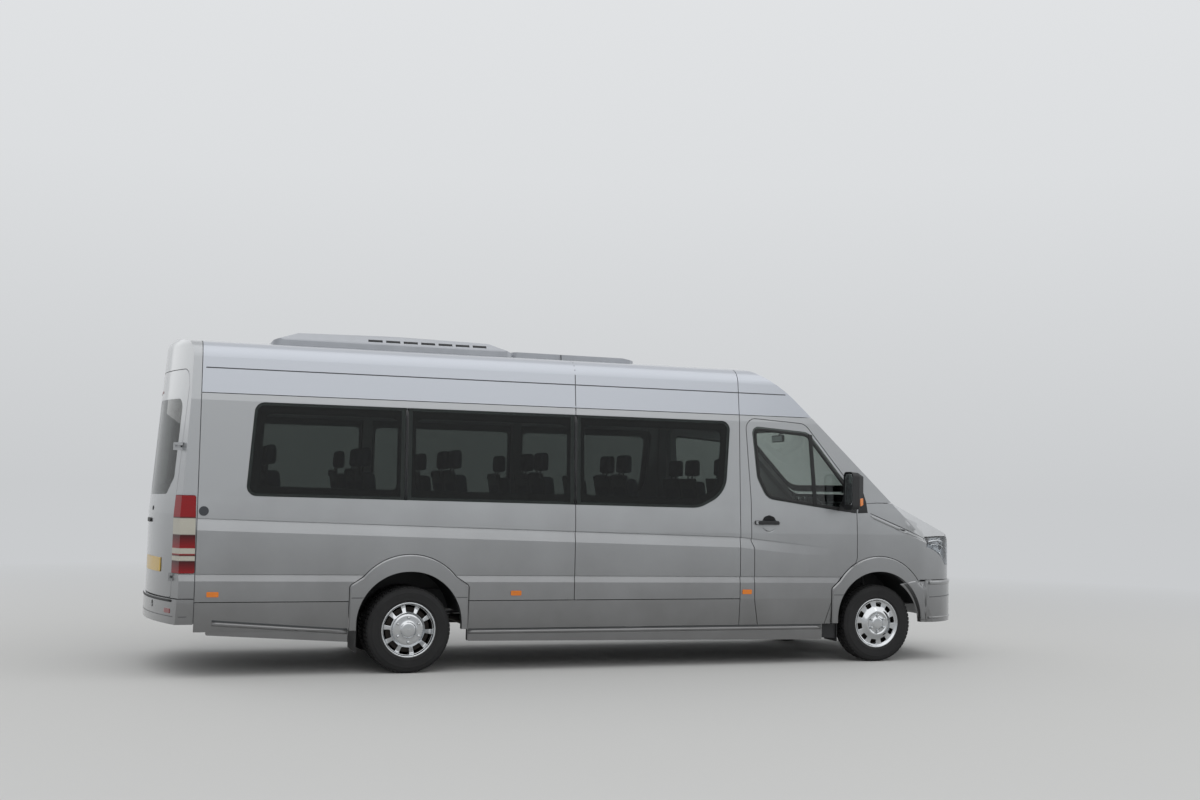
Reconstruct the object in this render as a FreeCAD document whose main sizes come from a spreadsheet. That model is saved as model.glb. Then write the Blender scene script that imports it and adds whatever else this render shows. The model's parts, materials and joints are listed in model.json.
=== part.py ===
import FreeCAD, Part
import math
import os
from types import SimpleNamespace

# A high-roof minibus with a long wheelbase, twin rear wheels and right-hand drive.
# Millimetres. +X is forward, +Y is the vehicle's left, +Z is up. The origin is on the ground
# under the middle of the vehicle.

V = FreeCAD.Vector
ORIGIN = V(0, 0, 0)
UP = V(0, 0, 1)
ACROSS = V(0, 1, 0)

# Driving dimensions: name, value. Heights are above the ground.
DIMENSIONS = [
    # whole vehicle
    ("overall_length", 7345), ("front_overhang", 1004), ("wheelbase", 4325),
    ("body_half_width", 985), ("nose_setback", 14.5), ("tail_setback", 14.5),
    # body section: heights of its corners, and how far each lies inside the waist
    ("sill_height", 350), ("cladding_height", 575), ("waist_height", 1150), ("belt_height", 1390),
    ("gutter_height", 2140), ("roof_side_height", 2400), ("roof_corner_height", 2596),
    ("crown_height", 2712), ("sill_tuck", 20), ("belt_tuck", 17), ("gutter_tuck", 60),
    ("roof_side_tuck", 92), ("roof_corner_tuck", 117), ("roof_corner_radius", 150),
    ("crown_radius", 4900),
    # walls and seams
    ("wall", 45), ("bonnet_wall", 28), ("seam", 6), ("glass", 5), ("glass_inset", 1.5),
    ("glass_rebate", 7), ("glass_lap", 24), ("fit", 0.3),
    # windscreen, forehead and bonnet on the centre line
    ("front_axis_back", 3153), ("screen_angle", 44), ("screen_foot_back", 787),
    ("screen_foot_height", 1492), ("forehead_radius", 1250), ("roof_top", 2683),
    ("bonnet_angle", 26.6), ("bonnet_tip_back", 82), ("bonnet_tip_radius", 170),
    ("nose_corner_radius", 560), ("nose_bulge_radius", 2600), ("nose_corner_back", 47),
    # shoulders of the nose
    ("shoulder_fall", 20), ("shoulder_height", 1325), ("shoulder_half", 945),
    ("shoulder_station", 1082),
    # tail
    ("tail_bulge_radius", 2400), ("tail_lean_start", 1250), ("tail_lean", 4.1),
    ("tail_roof_radius", 110), ("bumper_wall", 40), ("lamp_wall", 38),
    # seams, as distances behind the front axle or ahead of the tail
    ("cab_seam_back", 1397), ("slider_seam_back", 2930), ("tail_seam_ahead", 345),
    ("gutter_seam_height", 2195), ("cladding_seam_height", 578),
    # side glass
    ("side_glass_top", 2137), ("side_glass_bottom", 1385), ("side_glass_rear_ahead", 745),
    ("side_glass_front_back", 1500), ("pane_seam_ahead", 1962), ("side_glass_corner", 80),
    ("window_post", 90), ("rib_width", 80), ("rib_depth", 35),
    # creases along the side
    ("crease_rear_height", 1223), ("crease_cab_height", 1117), ("crease_front_height", 1021),
    ("crease_depth", 17), ("crease_band", 98), ("moulding_height", 785), ("moulding_band", 60),
    ("moulding_depth", 12),
    # wheel arches
    ("arch_radius", 430), ("arch_height", 384), ("flare_radius", 490), ("flare_centre_height", 462),
    ("flare_proud", 11.5), ("flare_band", 58), ("rear_flare_foot", 790), ("front_flare_foot", 755),
    # wheels
    ("tyre_radius", 345), ("tyre_width", 195), ("tyre_corner", 42), ("bead_radius", 212),
    ("bead_width", 150), ("rim_wall", 9), ("front_wheel_half", 855), ("rear_wheel_half", 880),
    ("twin_pitch", 226), ("hub_radius", 78), ("disc_wall", 12), ("slot_count", 10),
    ("slot_radius", 15), ("slot_circle", 152), ("stub_radius", 30), ("stub_clearance", 0.05),
    # front suspension and steering
    ("ball_half", 800), ("ball_height", 222), ("ball_radius", 20), ("strut_top_half", 672), ("strut_top_height", 800),
    ("strut_radius", 27), ("steering_wheel_radius", 200), ("steering_wheel_rim", 15),
    ("steering_wheel_height", 1335), ("steering_wheel_back", 740), ("driver_half", 440),
    ("column_tilt", 32),
    # frame and running gear
    ("rail_half", 430), ("rail_width", 65), ("rail_height", 120), ("rail_base", 480),
    ("floor_base", 600), ("floor_thickness", 40), ("axle_radius", 48), ("spindle_radius", 40),
    ("spring_half", 462), ("spring_width", 70), ("engine_length", 690), ("engine_width", 540),
    ("engine_height", 640), ("engine_base", 350), ("gearbox_length", 740), ("gearbox_width", 320),
    # roof units
    ("aircon_half_width", 550), ("aircon_top", 2757), ("aircon_rear_ahead", 902),
    ("aircon_front_ahead", 2965), ("pod_half_width", 470), ("pod_top", 2691),
    ("pod_front_ahead", 4111),
    # doors
    ("front_door_rear_back", 1288), ("front_door_front_back", 233), ("rear_door_half", 868),
    ("rear_door_base", 610), ("rear_door_top", 2378), ("hinge_proud", 13), ("hinge_radius", 11),
    ("hinge_length", 60), ("tow_radius", 10), ("tow_wall", 22), ("tow_length", 60),
    ("tow_access", 28),
    # seats
    ("seat_width", 430), ("seat_height", 430), ("seat_depth", 450), ("seat_back_height", 560),
    ("seat_pad", 110), ("head_height", 170), ("head_width", 260), ("row_pitch", 760),
    ("first_row_ahead", 1050),
]

doc = FreeCAD.newDocument("minibus")
sheet = doc.addObject("Spreadsheet::Sheet", "dims")
for line, (alias, value) in enumerate(DIMENSIONS, start=1):
    sheet.set(f"A{line}", alias)
    sheet.set(f"B{line}", str(value))
    sheet.setAlias(f"B{line}", alias)
doc.recompute()
S = SimpleNamespace(**{alias: float(sheet.get(alias)) for alias, value in DIMENSIONS})

# Stations along the vehicle, from the driving dimensions.
NOSE_X = S.overall_length / 2
TAIL_X = -NOSE_X
FRONT_X = NOSE_X - S.front_overhang
REAR_X = FRONT_X - S.wheelbase
SKIN_NOSE_X = NOSE_X - S.nose_setback
SKIN_TAIL_X = TAIL_X + S.tail_setback
CAB_SEAM_X = FRONT_X - S.cab_seam_back
SLIDER_SEAM_X = FRONT_X - S.slider_seam_back
TAIL_SEAM_X = TAIL_X + S.tail_seam_ahead
DOOR_FRONT_X = FRONT_X - S.front_door_front_back
DOOR_REAR_X = FRONT_X - S.front_door_rear_back
SCREEN_FOOT_X = NOSE_X - S.screen_foot_back
TURN_X = FRONT_X - S.front_axis_back
TAIL_TURN_X = SKIN_TAIL_X + S.tail_bulge_radius
FLOOR_TOP = S.floor_base + S.floor_thickness
FAR = 4200.0
BELOW = 100.0
WIDE = 1150.0


# Outlines: rows of (first coordinate, second coordinate, corner radius).

def outline_face(rows, place):
    count = len(rows)
    ends = []
    for index, (first, second, radius) in enumerate(rows):
        corner = V(first, second, 0)
        before = rows[index - 1]
        after = rows[(index + 1) % count]
        back = (V(before[0], before[1], 0) - corner).normalize()
        ahead = (V(after[0], after[1], 0) - corner).normalize()
        if radius <= 0:
            ends.append((corner, None, corner))
            continue
        half = back.getAngle(ahead) / 2
        cut = radius / math.tan(half)
        middle = (back + ahead).normalize()
        centre = corner + middle * (radius / math.sin(half))
        ends.append((corner + back * cut, centre - middle * radius, corner + ahead * cut))
    edges = []
    for index, (start, middle, end) in enumerate(ends):
        if middle is not None:
            edges.append(Part.Arc(place(start), place(middle), place(end)).toShape())
        following = ends[(index + 1) % count][0]
        if (following - end).Length > 1e-6:
            edges.append(Part.LineSegment(place(end), place(following)).toShape())
    return Part.Face(Part.Wire(edges))


def inset(rows, depth):
    """Moves every side of an outline inwards; corners that bulge out get a smaller radius."""
    if depth == 0:
        return list(rows)
    count = len(rows)
    area = sum(rows[i - 1][0] * rows[i][1] - rows[i][0] * rows[i - 1][1] for i in range(count))
    turn = 1 if area > 0 else -1
    sides = []
    for index in range(count):
        start = rows[index]
        end = rows[(index + 1) % count]
        run = math.hypot(end[0] - start[0], end[1] - start[1])
        along = ((end[0] - start[0]) / run, (end[1] - start[1]) / run)
        sides.append((start[0] - along[1] * turn * depth, start[1] + along[0] * turn * depth, along))
    moved = []
    for index in range(count):
        x1, y1, a = sides[index - 1]
        x2, y2, b = sides[index]
        cross = a[0] * b[1] - a[1] * b[0]
        radius = rows[index][2]
        if abs(cross) < 1e-9:
            moved.append((x2, y2, radius))
            continue
        reach = ((x2 - x1) * b[1] - (y2 - y1) * b[0]) / cross
        if cross * turn > 0:
            radius = max(radius - depth, 0)
        elif radius > 0:
            radius = radius + depth
        moved.append((x1 + a[0] * reach, y1 + a[1] * reach, radius))
    return moved


def flipped(rows):
    return [(-first, second, radius) for first, second, radius in reversed(rows)]


def side_prism(rows, y0, y1):
    return outline_face(rows, lambda p: V(p.x, y0, p.y)).extrude(V(0, y1 - y0, 0))


def plan_prism(rows, z0, z1):
    return outline_face(rows, lambda p: V(p.x, p.y, z0)).extrude(V(0, 0, z1 - z0))


def front_prism(rows, x0, x1):
    return outline_face(rows, lambda p: V(x0, p.x, p.y)).extrude(V(x1 - x0, 0, 0))


def block(x0, x1, y0, y1, z0, z1):
    return Part.makeBox(x1 - x0, y1 - y0, z1 - z0, V(x0, y0, z0))


def box_rows(a0, a1, b0, b1, radius=0):
    return [(a0, b0, radius), (a1, b0, radius), (a1, b1, radius), (a0, b1, radius)]


def turned(rows, turn_x, depth=0):
    """Insets an outline in the centre plane, then revolves it half a turn about an upright line."""
    moved = inset(rows, depth)
    moved = [(turn_x if rows[i][0] == turn_x else moved[i][0],) + moved[i][1:] for i in range(len(rows))]
    face = outline_face(moved, lambda p: V(p.x, 0, p.y))
    face.rotate(V(turn_x, 0, 0), UP, -90)
    return face.revolve(V(turn_x, 0, 0), UP, 180)


def mirrored(shape):
    return shape.mirror(ORIGIN, ACROSS)


def both_sides(shape):
    return Part.makeCompound([shape, mirrored(shape)])


def solids(*shapes):
    found = []
    for shape in shapes:
        found.extend(shape.Solids)
    return Part.makeCompound(found) if len(found) > 1 else found[0]


def fused(first, *others):
    return first.fuse(list(others)).removeSplitter()


def rod(start, end, radius):
    run = end - start
    return Part.makeCylinder(radius, run.Length, start, run)


# The body's outer form, and the same form with every face moved inwards by a depth.

def body_section():
    half = [
        (-(S.body_half_width - S.sill_tuck), S.sill_height, 0),
        (-S.body_half_width, S.cladding_height, 0),
        (-S.body_half_width, S.waist_height, 0),
        (-(S.body_half_width - S.belt_tuck), S.belt_height, 0),
        (-(S.body_half_width - S.gutter_tuck), S.gutter_height, 0),
        (-(S.body_half_width - S.roof_side_tuck), S.roof_side_height, 0),
        (-(S.body_half_width - S.roof_corner_tuck), S.roof_corner_height, S.roof_corner_radius),
    ]
    return half + [(0, S.crown_height, S.crown_radius)] + flipped(half)


def front_profile():
    """Forehead and windscreen on the centre line."""
    slope = math.tan(math.radians(S.screen_angle))
    low = S.waist_height + 50
    brow_x = SCREEN_FOOT_X - (S.roof_top - S.screen_foot_height) / slope
    return [
        (TURN_X, BELOW, 0), (FRONT_X - 70, BELOW, 0), (FRONT_X - 70, low, 0),
        (SCREEN_FOOT_X + (S.screen_foot_height - low) / slope, low, 0),
        (brow_x, S.roof_top, S.forehead_radius), (TURN_X, S.roof_top, 0),
    ]


def bonnet_height(x):
    return S.screen_foot_height - (x - SCREEN_FOOT_X) * math.tan(math.radians(S.bonnet_angle))


def nose_profile():
    """Bonnet and grille face on the centre line."""
    tip_x = NOSE_X - S.bonnet_tip_back
    start_x = TURN_X + 1985
    return [
        (start_x, BELOW, 0), (SKIN_NOSE_X, BELOW, 0), (SKIN_NOSE_X, 700, 0),
        (tip_x, bonnet_height(tip_x), S.bonnet_tip_radius),
        (SCREEN_FOOT_X - 370, bonnet_height(SCREEN_FOOT_X - 370), 0),
        (start_x, bonnet_height(SCREEN_FOOT_X - 370), 0),
    ]


def nose_plan():
    corner_x = NOSE_X - S.nose_corner_back
    side = S.body_half_width
    back_x = SCREEN_FOOT_X - 1480
    return [
        (back_x, -side, 0), (corner_x, -side, S.nose_corner_radius), (NOSE_X, 0, S.nose_bulge_radius),
        (corner_x, side, S.nose_corner_radius), (back_x, side, 0),
    ]


def tail_profile():
    """Tail on the centre line, upright below and leaning forward above."""
    lean = math.tan(math.radians(S.tail_lean))
    top_x = SKIN_TAIL_X + (S.roof_top - S.tail_lean_start) * lean
    return [
        (TAIL_TURN_X, BELOW, 0), (TAIL_TURN_X, S.roof_top, 0), (top_x, S.roof_top, S.tail_roof_radius),
        (SKIN_TAIL_X, S.tail_lean_start, 0), (SKIN_TAIL_X, BELOW, 0),
    ]


def shoulder_cutter(depth):
    """Takes the upper corner off the nose, falling forward."""
    fall = math.tan(math.radians(S.shoulder_fall))
    start_x = SCREEN_FOOT_X - 1435
    rise = (NOSE_X - S.shoulder_station - start_x) * fall
    rows = [
        (-WIDE - 50, S.shoulder_height - 55, 0), (-S.shoulder_half - 55, S.shoulder_height - 55, 0),
        (-S.shoulder_half, S.shoulder_height, 0), (-S.shoulder_half + 145, S.shoulder_height + 243, 0),
        (-S.shoulder_half + 145, 2400, 0), (-WIDE - 50, 2400, 0),
    ]
    face = outline_face(rows, lambda p: V(start_x, p.x, p.y + rise))
    cutter = face.extrude(V(2400, 0, -2400 * fall))
    cutter.translate(V(0, depth * 0.8, -depth * 0.6))
    return cutter


def envelope(depth):
    section = inset(body_section(), depth)
    drop = 200 if depth > 0 else 0
    section = [(a, b - drop if b < S.cladding_height - 60 else b, r) for a, b, r in section]
    tube = front_prism(section, -FAR, FAR)
    cab = turned(front_profile(), TURN_X, depth).common(tube)
    nose = turned(nose_profile(), TURN_X, depth)
    nose = nose.common(plan_prism(inset(nose_plan(), depth), 0, 3000)).common(tube)
    cutter = shoulder_cutter(depth)
    nose = nose.cut(cutter).cut(mirrored(cutter))
    tail = turned(tail_profile(), TAIL_TURN_X, depth).common(tube)
    middle = tube.common(block(TAIL_TURN_X, TURN_X, -WIDE, WIDE, 0, 3000))
    return middle.fuse([cab, nose, tail]).removeSplitter()


outer = envelope(0)
shell = outer.cut(envelope(S.wall))
rebate_layer = envelope(-30).cut(envelope(S.glass_rebate))
glass_layer = envelope(S.glass_inset).cut(envelope(S.glass_inset + S.glass))


# Shared outlines, seen from the side: X, Z, corner radius.

def arch_outline(axle_x, grow=0.0):
    reach = S.arch_radius + grow
    top = S.arch_height + reach
    rise = reach * 0.98
    return [
        (axle_x - reach, BELOW, 0), (axle_x + reach, BELOW, 0),
        (axle_x + reach, top, rise), (axle_x - reach, top, rise),
    ]


def flare_outline(axle_x, foot):
    """A round arch down to its feet, and a narrower band from there to the sill."""
    radius = S.flare_radius
    centre = S.flare_centre_height
    at_foot = math.sqrt(radius ** 2 - (foot - centre) ** 2)
    swing = math.asin(at_foot / radius)
    toe_x = at_foot + 25 * math.cos(swing)
    toe_z = foot - 25 * math.sin(swing)
    band = S.arch_radius + S.flare_band
    return [
        (axle_x - band, BELOW, 0), (axle_x + band, BELOW, 0), (axle_x + band, toe_z - 70, 40),
        (axle_x + toe_x, toe_z, 12), (axle_x, centre + radius / math.cos(swing), radius),
        (axle_x - toe_x, toe_z, 12), (axle_x - band, toe_z - 70, 40),
    ]


def side_cut(rows):
    return side_prism(rows, -WIDE, -600)


def door_outline(grow=0.0):
    """Front door: rear edge, glass frame, front edge and the run around the wheel arch."""
    x0 = DOOR_REAR_X
    x1 = DOOR_FRONT_X
    rows = [
        (x0 + 76, S.sill_height - 5, 10), (x0 + 36, 566, 0), (x0 + 30, 1021, 30), (x0, 1083, 30),
        (x0, 1443, 0), (x0 - 48, 2170, 90), (x1 - 515, 2135, 120), (x1 - 83, 1623, 300),
        (x1, 1500, 60), (x1, 900, 120), (x1 - 153, 757, 60), (x1 - 253, 561, 80),
        (x1 - 324, S.sill_height - 5, 10),
    ]
    return inset(rows, -grow)


def door_glass_outline(depth=0.0):
    x0 = DOOR_REAR_X
    x1 = DOOR_FRONT_X
    rows = [
        (x0 + 8, 2102, 60), (x1 - 480, 2064, 120), (x1 - 60, 1560, 120), (x1 - 60, 1345, 30),
        (x1 - 520, 1403, 200), (x0 + 150, 1455, 130), (x0 + 56, 1640, 160),
    ]
    return inset(rows, depth)


def side_glass_outline(depth=0.0):
    rear_x = TAIL_X + S.side_glass_rear_ahead
    front_x = FRONT_X - S.side_glass_front_back
    slant = 45
    r = S.side_glass_corner
    rows = [
        (rear_x - slant, S.side_glass_bottom + 12, r), (rear_x + 10, S.side_glass_top, r),
        (front_x + 15, S.side_glass_top, r), (front_x - 35, S.side_glass_bottom + 110, 260),
        (front_x - 290, S.side_glass_bottom - 22, 260),
    ]
    return inset(rows, depth)


def pane_ranges():
    rear_x = TAIL_X + S.side_glass_rear_ahead - 100
    pane_x = TAIL_X + S.pane_seam_ahead
    front_x = FRONT_X - S.side_glass_front_back + 100
    return [(rear_x, pane_x), (pane_x, SLIDER_SEAM_X), (SLIDER_SEAM_X, front_x)]


def crease_section(x, height, depth, band):
    side = -S.body_half_width
    rows = [
        V(x, side - 20, height), V(x, side + depth, height), V(x, side - 1, height - band),
        V(x, side - 20, height - band),
    ]
    return Part.makePolygon(rows + [rows[0]])


def crease_cutter():
    stations = [
        (TAIL_SEAM_X - 300, S.crease_rear_height + 5, S.crease_depth),
        (CAB_SEAM_X, S.crease_cab_height, S.crease_depth),
        (DOOR_FRONT_X - 250, S.crease_front_height, 0.5),
    ]
    parts = []
    for start, end in zip(stations, stations[1:]):
        wires = [crease_section(*start, S.crease_band), crease_section(*end, S.crease_band)]
        parts.append(Part.makeLoft(wires, True, True))
    moulding = [(TAIL_SEAM_X - 400, S.moulding_height + 12), (DOOR_FRONT_X + 400, S.moulding_height - 20)]
    wires = [crease_section(x, z, S.moulding_depth, S.moulding_band) for x, z in moulding]
    parts.append(Part.makeLoft(wires, True, True))
    return parts


CREASES = crease_cutter()


def with_creases(panel):
    """Cuts the shoulder crease and the moulding step into a panel of the right-hand side."""
    for cutter in CREASES:
        panel = panel.cut(cutter)
    return panel


pieces = {}


def keep(label, shape):
    item = doc.addObject("Part::Feature", label)
    item.Shape = shape
    item.Label = label
    pieces[label] = item
    return item


# Hoops and rails of the body frame, just inside the panels, behind each seam between them.

def frame_layer(gap, depth):
    return envelope(gap).cut(envelope(depth))


rib_layer = frame_layer(S.wall + S.fit, S.wall + S.rib_depth)
RIB_HALF = S.rib_width / 2
ribs = []
for seam_x in (TAIL_SEAM_X, SLIDER_SEAM_X, CAB_SEAM_X):
    ribs.append(block(seam_x - RIB_HALF, seam_x + RIB_HALF, -WIDE, WIDE, S.floor_base, 3000))
low_z = S.sill_height + 60
for seam_x in (TAIL_SEAM_X, SLIDER_SEAM_X, CAB_SEAM_X):
    ribs.append(block(seam_x - RIB_HALF, seam_x + RIB_HALF, -WIDE, -600, low_z, S.floor_base))
    ribs.append(block(seam_x - RIB_HALF, seam_x + RIB_HALF, 600, WIDE, low_z, S.floor_base))
for side_z in (S.floor_base + 10, S.gutter_seam_height):
    for y0, y1 in ((-WIDE, -600), (600, WIDE)):
        ribs.append(block(TAIL_SEAM_X, CAB_SEAM_X, y0, y1, side_z - 30, side_z + 30))
body_frame = rib_layer.common(fused(ribs[0], *ribs[1:]))
WELL_RADIUS = S.arch_radius + 14 + S.fit
HOUSE_Y = S.rail_half + S.rail_width + 6


def wheel_well(axle_x):
    """The room that a wheel house takes on the right-hand side."""
    return Part.makeCylinder(WELL_RADIUS, WIDE - HOUSE_Y + S.fit, V(axle_x, -WIDE, S.arch_height), ACROSS)


REAR_WELL = wheel_well(REAR_X)
FRONT_WELL = wheel_well(FRONT_X)
body_frame = body_frame.cut(REAR_WELL).cut(mirrored(REAR_WELL))

# The rear doors swing about upright lines a little behind the skin; their inner edges sweep a cone there.
REAR_HINGE_X = (TAIL_TURN_X - math.sqrt(S.tail_bulge_radius ** 2 - S.rear_door_half ** 2) - S.hinge_proud)
TAIL_SLOPE = math.tan(math.radians(S.tail_lean))


def swing_zone():
    """The space that the right-hand rear door's hinge edge sweeps, with some air round it."""
    low = S.hinge_proud + S.wall * 1.08 + 5
    bead_low, bead_high, bead = 2155, 2265, 167
    high = low + TAIL_SLOPE * (bead_low - S.tail_lean_start)
    top = S.rear_door_top + 30
    rows = [(0, 500), (low, 500), (low, S.tail_lean_start), (high, bead_low), (bead, bead_low),
            (bead, bead_high), (high + 2, bead_high), (high + 2, top), (0, top)]
    face = Part.Face(Part.makePolygon([V(r, 0, z) for r, z in rows + rows[:1]]))
    zone = face.revolve(ORIGIN, UP, 360)
    zone.translate(V(REAR_HINGE_X, -S.rear_door_half, 0))
    return zone


rear_swing = swing_zone()
body_frame = body_frame.cut(rear_swing).cut(mirrored(rear_swing))
keep("body_frame", solids(body_frame))


# Side panels, right-hand side first. The left side is its mirror image.

def side_region(x0, x1, z0=None, z1=None):
    low = S.cladding_seam_height + S.seam / 2 if z0 is None else z0
    high = S.gutter_seam_height - S.seam / 2 if z1 is None else z1
    half = S.seam / 2
    return shell.common(side_cut(box_rows(x0 + half, x1 - half, low, high)))


def cut_side_glass(panel):
    full = side_cut(side_glass_outline())
    panel = panel.cut(rebate_layer.common(full))
    inner = side_glass_outline(S.glass_lap)
    for x0, x1 in pane_ranges():
        hole = box_rows(x0 + S.window_post / 2, x1 - S.window_post / 2, 1000, 2300)
        panel = panel.cut(side_cut(inner).common(side_cut(hole)))
    return panel


def side_panes(index):
    x0, x1 = pane_ranges()[index]
    outline = side_cut(side_glass_outline(S.fit + 1.2))
    window = side_cut(box_rows(x0 + 2, x1 - 2, 1000, 2300))
    return glass_layer.common(outline).common(window)


rear_flare_cut = side_cut(inset(flare_outline(REAR_X, S.rear_flare_foot), -S.seam / 2))
front_flare_cut = side_cut(inset(flare_outline(FRONT_X, S.front_flare_foot), -S.seam / 2))

door_arch_cut = side_cut(inset(flare_outline(FRONT_X, S.front_flare_foot), -S.seam))

rear_side = side_region(TAIL_SEAM_X, SLIDER_SEAM_X)
rear_side = with_creases(cut_side_glass(rear_side)).cut(rear_flare_cut)
front_side = side_region(SLIDER_SEAM_X, CAB_SEAM_X)
front_side = with_creases(cut_side_glass(front_side))
slider = side_region(SLIDER_SEAM_X, CAB_SEAM_X, S.sill_height + 30)
slider = with_creases(cut_side_glass(slider))

keep("side_panels", solids(rear_side, front_side, mirrored(rear_side)))
keep("sliding_door", mirrored(slider))
keep("side_glass", both_sides(solids(side_panes(0), side_panes(1), side_panes(2))))

# Lower cladding between the wheels and behind them.
cladding_top = S.cladding_seam_height - S.seam / 2
rear_cladding = side_region(TAIL_SEAM_X, REAR_X, S.sill_height, cladding_top).cut(rear_flare_cut)
middle_cladding = side_region(REAR_X, CAB_SEAM_X, S.sill_height, cladding_top).cut(rear_flare_cut)
left_middle = side_region(REAR_X, SLIDER_SEAM_X, S.sill_height, cladding_top).cut(rear_flare_cut)


def skirt(x0, x1, z_rear, z_front):
    side = S.body_half_width - S.sill_tuck
    rows = [(x0, z_rear, 12), (x1, z_front, 12), (x1, S.sill_height - S.fit, 0),
            (x0, S.sill_height - S.fit, 0)]
    return side_prism(rows, -side + 6, -side + 60)


rear_skirt = skirt(TAIL_X + 440, REAR_X - S.arch_radius - S.flare_band, 325, 258)
middle_skirt = skirt(REAR_X + S.arch_radius + S.flare_band, DOOR_FRONT_X - 340, 250, 210)
skirts = solids(rear_skirt, middle_skirt)
keep("lower_cladding", solids(rear_cladding, middle_cladding, mirrored(rear_cladding),
                              mirrored(left_middle), skirts, mirrored(skirts)))


# Roof: one long panel and the moulded cap over the cab.

roof_low = S.gutter_seam_height + S.seam / 2
roof_box = block(TAIL_SEAM_X + S.seam / 2, CAB_SEAM_X - S.seam / 2, -WIDE, WIDE, roof_low, 3000)
keep("roof_panel", shell.common(roof_box))
cap_box = block(CAB_SEAM_X + S.seam / 2, FAR, -WIDE, WIDE, roof_low, 3000)
keep("roof_front_cap", shell.common(cap_box))


# Cab side rings: pillar behind the door, rail above it and windscreen pillar.

def screen_outline(depth=0.0):
    top = S.gutter_seam_height - 4
    foot = S.screen_foot_height + 22
    rows = [(-852, foot, 60), (852, foot, 60), (778, top, 70), (-778, top, 70)]
    return inset(rows, depth)


def ring_outline():
    x0 = CAB_SEAM_X + S.seam / 2
    x1 = DOOR_FRONT_X + S.seam
    top = S.gutter_seam_height - S.seam / 2
    rows = [
        (x0, S.sill_height, 0), (DOOR_REAR_X + 140, S.sill_height, 0), (DOOR_REAR_X + 140, 1300, 0),
        (x1, 1300, 0), (x1, 1425, 0), (x1 + 215, 1440, 0), (x1 + 560, 1440, 0),
        (x1 + 560, top, 0), (x0, top, 0),
    ]
    return rows


pillar_limit = front_prism([(-WIDE, 200, 0), (-857, 200, 0), (-857, 1420, 0), (-770, 2300, 0),
                            (-WIDE, 2300, 0)], 0, FAR)
screen_cut = front_prism(screen_outline(S.glass_lap), SCREEN_FOOT_X - 1200, FAR)
screen_rebate = rebate_layer.common(front_prism(screen_outline(), SCREEN_FOOT_X - 1200, FAR))
door_cut = side_cut(door_outline(S.seam))
ring = shell.common(side_prism(ring_outline(), -WIDE, -500)).common(pillar_limit)
ring = ring.cut(door_cut).cut(screen_cut).cut(screen_rebate)
ring = with_creases(ring)
keep("cab_side_rings", both_sides(solids(ring)))

windscreen = glass_layer.common(front_prism(screen_outline(S.fit + 1.2), SCREEN_FOOT_X - 1200, FAR))
keep("windscreen", windscreen)


# Front doors with their glass.

door_wall = shell.common(side_cut(door_outline())).cut(door_arch_cut)
door_rebate = rebate_layer.common(side_cut(door_glass_outline()))
door = door_wall.cut(door_rebate).cut(side_cut(door_glass_outline(S.glass_lap)))
door = with_creases(door)
handle_x = DOOR_REAR_X + 171
handle_z = 1244
dimple = Part.makeSphere(150, V(handle_x, -S.body_half_width - 124, handle_z))
door = door.cut(dimple)
grip = side_prism(box_rows(handle_x - 140, handle_x + 106, handle_z - 14, handle_z + 14, 12),
                  -S.body_half_width - 24, -S.body_half_width - 6)


def grip_feet(grow=0.0):
    """The two feet that the pull handle stands on, let into the door's skin."""
    y0 = -S.body_half_width - 6
    y1 = -S.body_half_width + 22 + grow
    feet = [block(x - 18 - grow, x + 18 + grow, y0, y1, handle_z - 12 - grow, handle_z + 12 + grow)
            for x in (handle_x - 118, handle_x + 84)]
    return feet


grip = fused(grip, *grip_feet())
for foot in grip_feet(S.fit):
    door = door.cut(foot)
door_glass = glass_layer.common(side_cut(door_glass_outline(S.fit + 1.2)))
for side, turn in (("right", lambda shape: shape), ("left", mirrored)):
    keep(f"front_door_{side}", turn(solids(door, grip)))
    keep(f"front_door_glass_{side}", turn(door_glass))


# Door mirrors on an arm at the foot of the windscreen pillar.

def mirror_piece():
    x0 = DOOR_FRONT_X - 180
    y0 = -S.body_half_width - 60
    y1 = -S.body_half_width - 228
    z0 = 1370
    z1 = 1711
    back = outline_face(box_rows(y1, y0, z0, z1, 45), lambda p: V(x0, p.x, p.y)).OuterWire
    middle = outline_face(inset(box_rows(y1, y0, z0, z1, 45), 6), lambda p: V(x0 + 70, p.x, p.y)).OuterWire
    front = outline_face(inset(box_rows(y1, y0, z0, z1, 45), 40), lambda p: V(x0 + 129, p.x, p.y)).OuterWire
    housing = Part.makeLoft([back, middle, front], True, True)
    recess = front_prism(inset(box_rows(y1, y0, z0, z1, 45), 8), x0 - 1, x0 + 6)
    foot_y = -(S.body_half_width - S.belt_tuck) - 6
    arm = front_prism([(foot_y, 1395, 0), (foot_y, 1480, 0), (y0 - 12, 1520, 0), (y0 - 12, 1440, 0)],
                      x0 + 30, x0 + 95)
    return fused(housing.cut(recess), arm)


def mirror_base():
    rows = [(DOOR_FRONT_X - 190, 1362, 0), (DOOR_FRONT_X - 6, 1342, 0), (DOOR_FRONT_X - 6, 1560, 0),
            (DOOR_FRONT_X - 70, 1620, 0)]
    layer = envelope(-9).cut(envelope(-S.fit))
    return layer.common(side_cut(rows))


mirror = fused(mirror_piece(), mirror_base())
keep("mirror_right", solids(mirror))
keep("mirror_left", mirrored(solids(mirror)))


# Wings, bonnet and scuttle.

def bonnet_outline(grow=0.0):
    rear_x = SCREEN_FOOT_X - 30
    rows = [
        (rear_x - 300, -730, 0), (rear_x, -738, 0), (NOSE_X - 360, -800, 150), (NOSE_X - 150, -585, 160),
        (NOSE_X + 60, -560, 0), (NOSE_X + 60, 560, 0), (NOSE_X - 150, 585, 160),
        (NOSE_X - 360, 800, 150), (rear_x, 738, 0), (rear_x - 300, 730, 0),
    ]
    return inset(rows, -grow)


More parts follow.
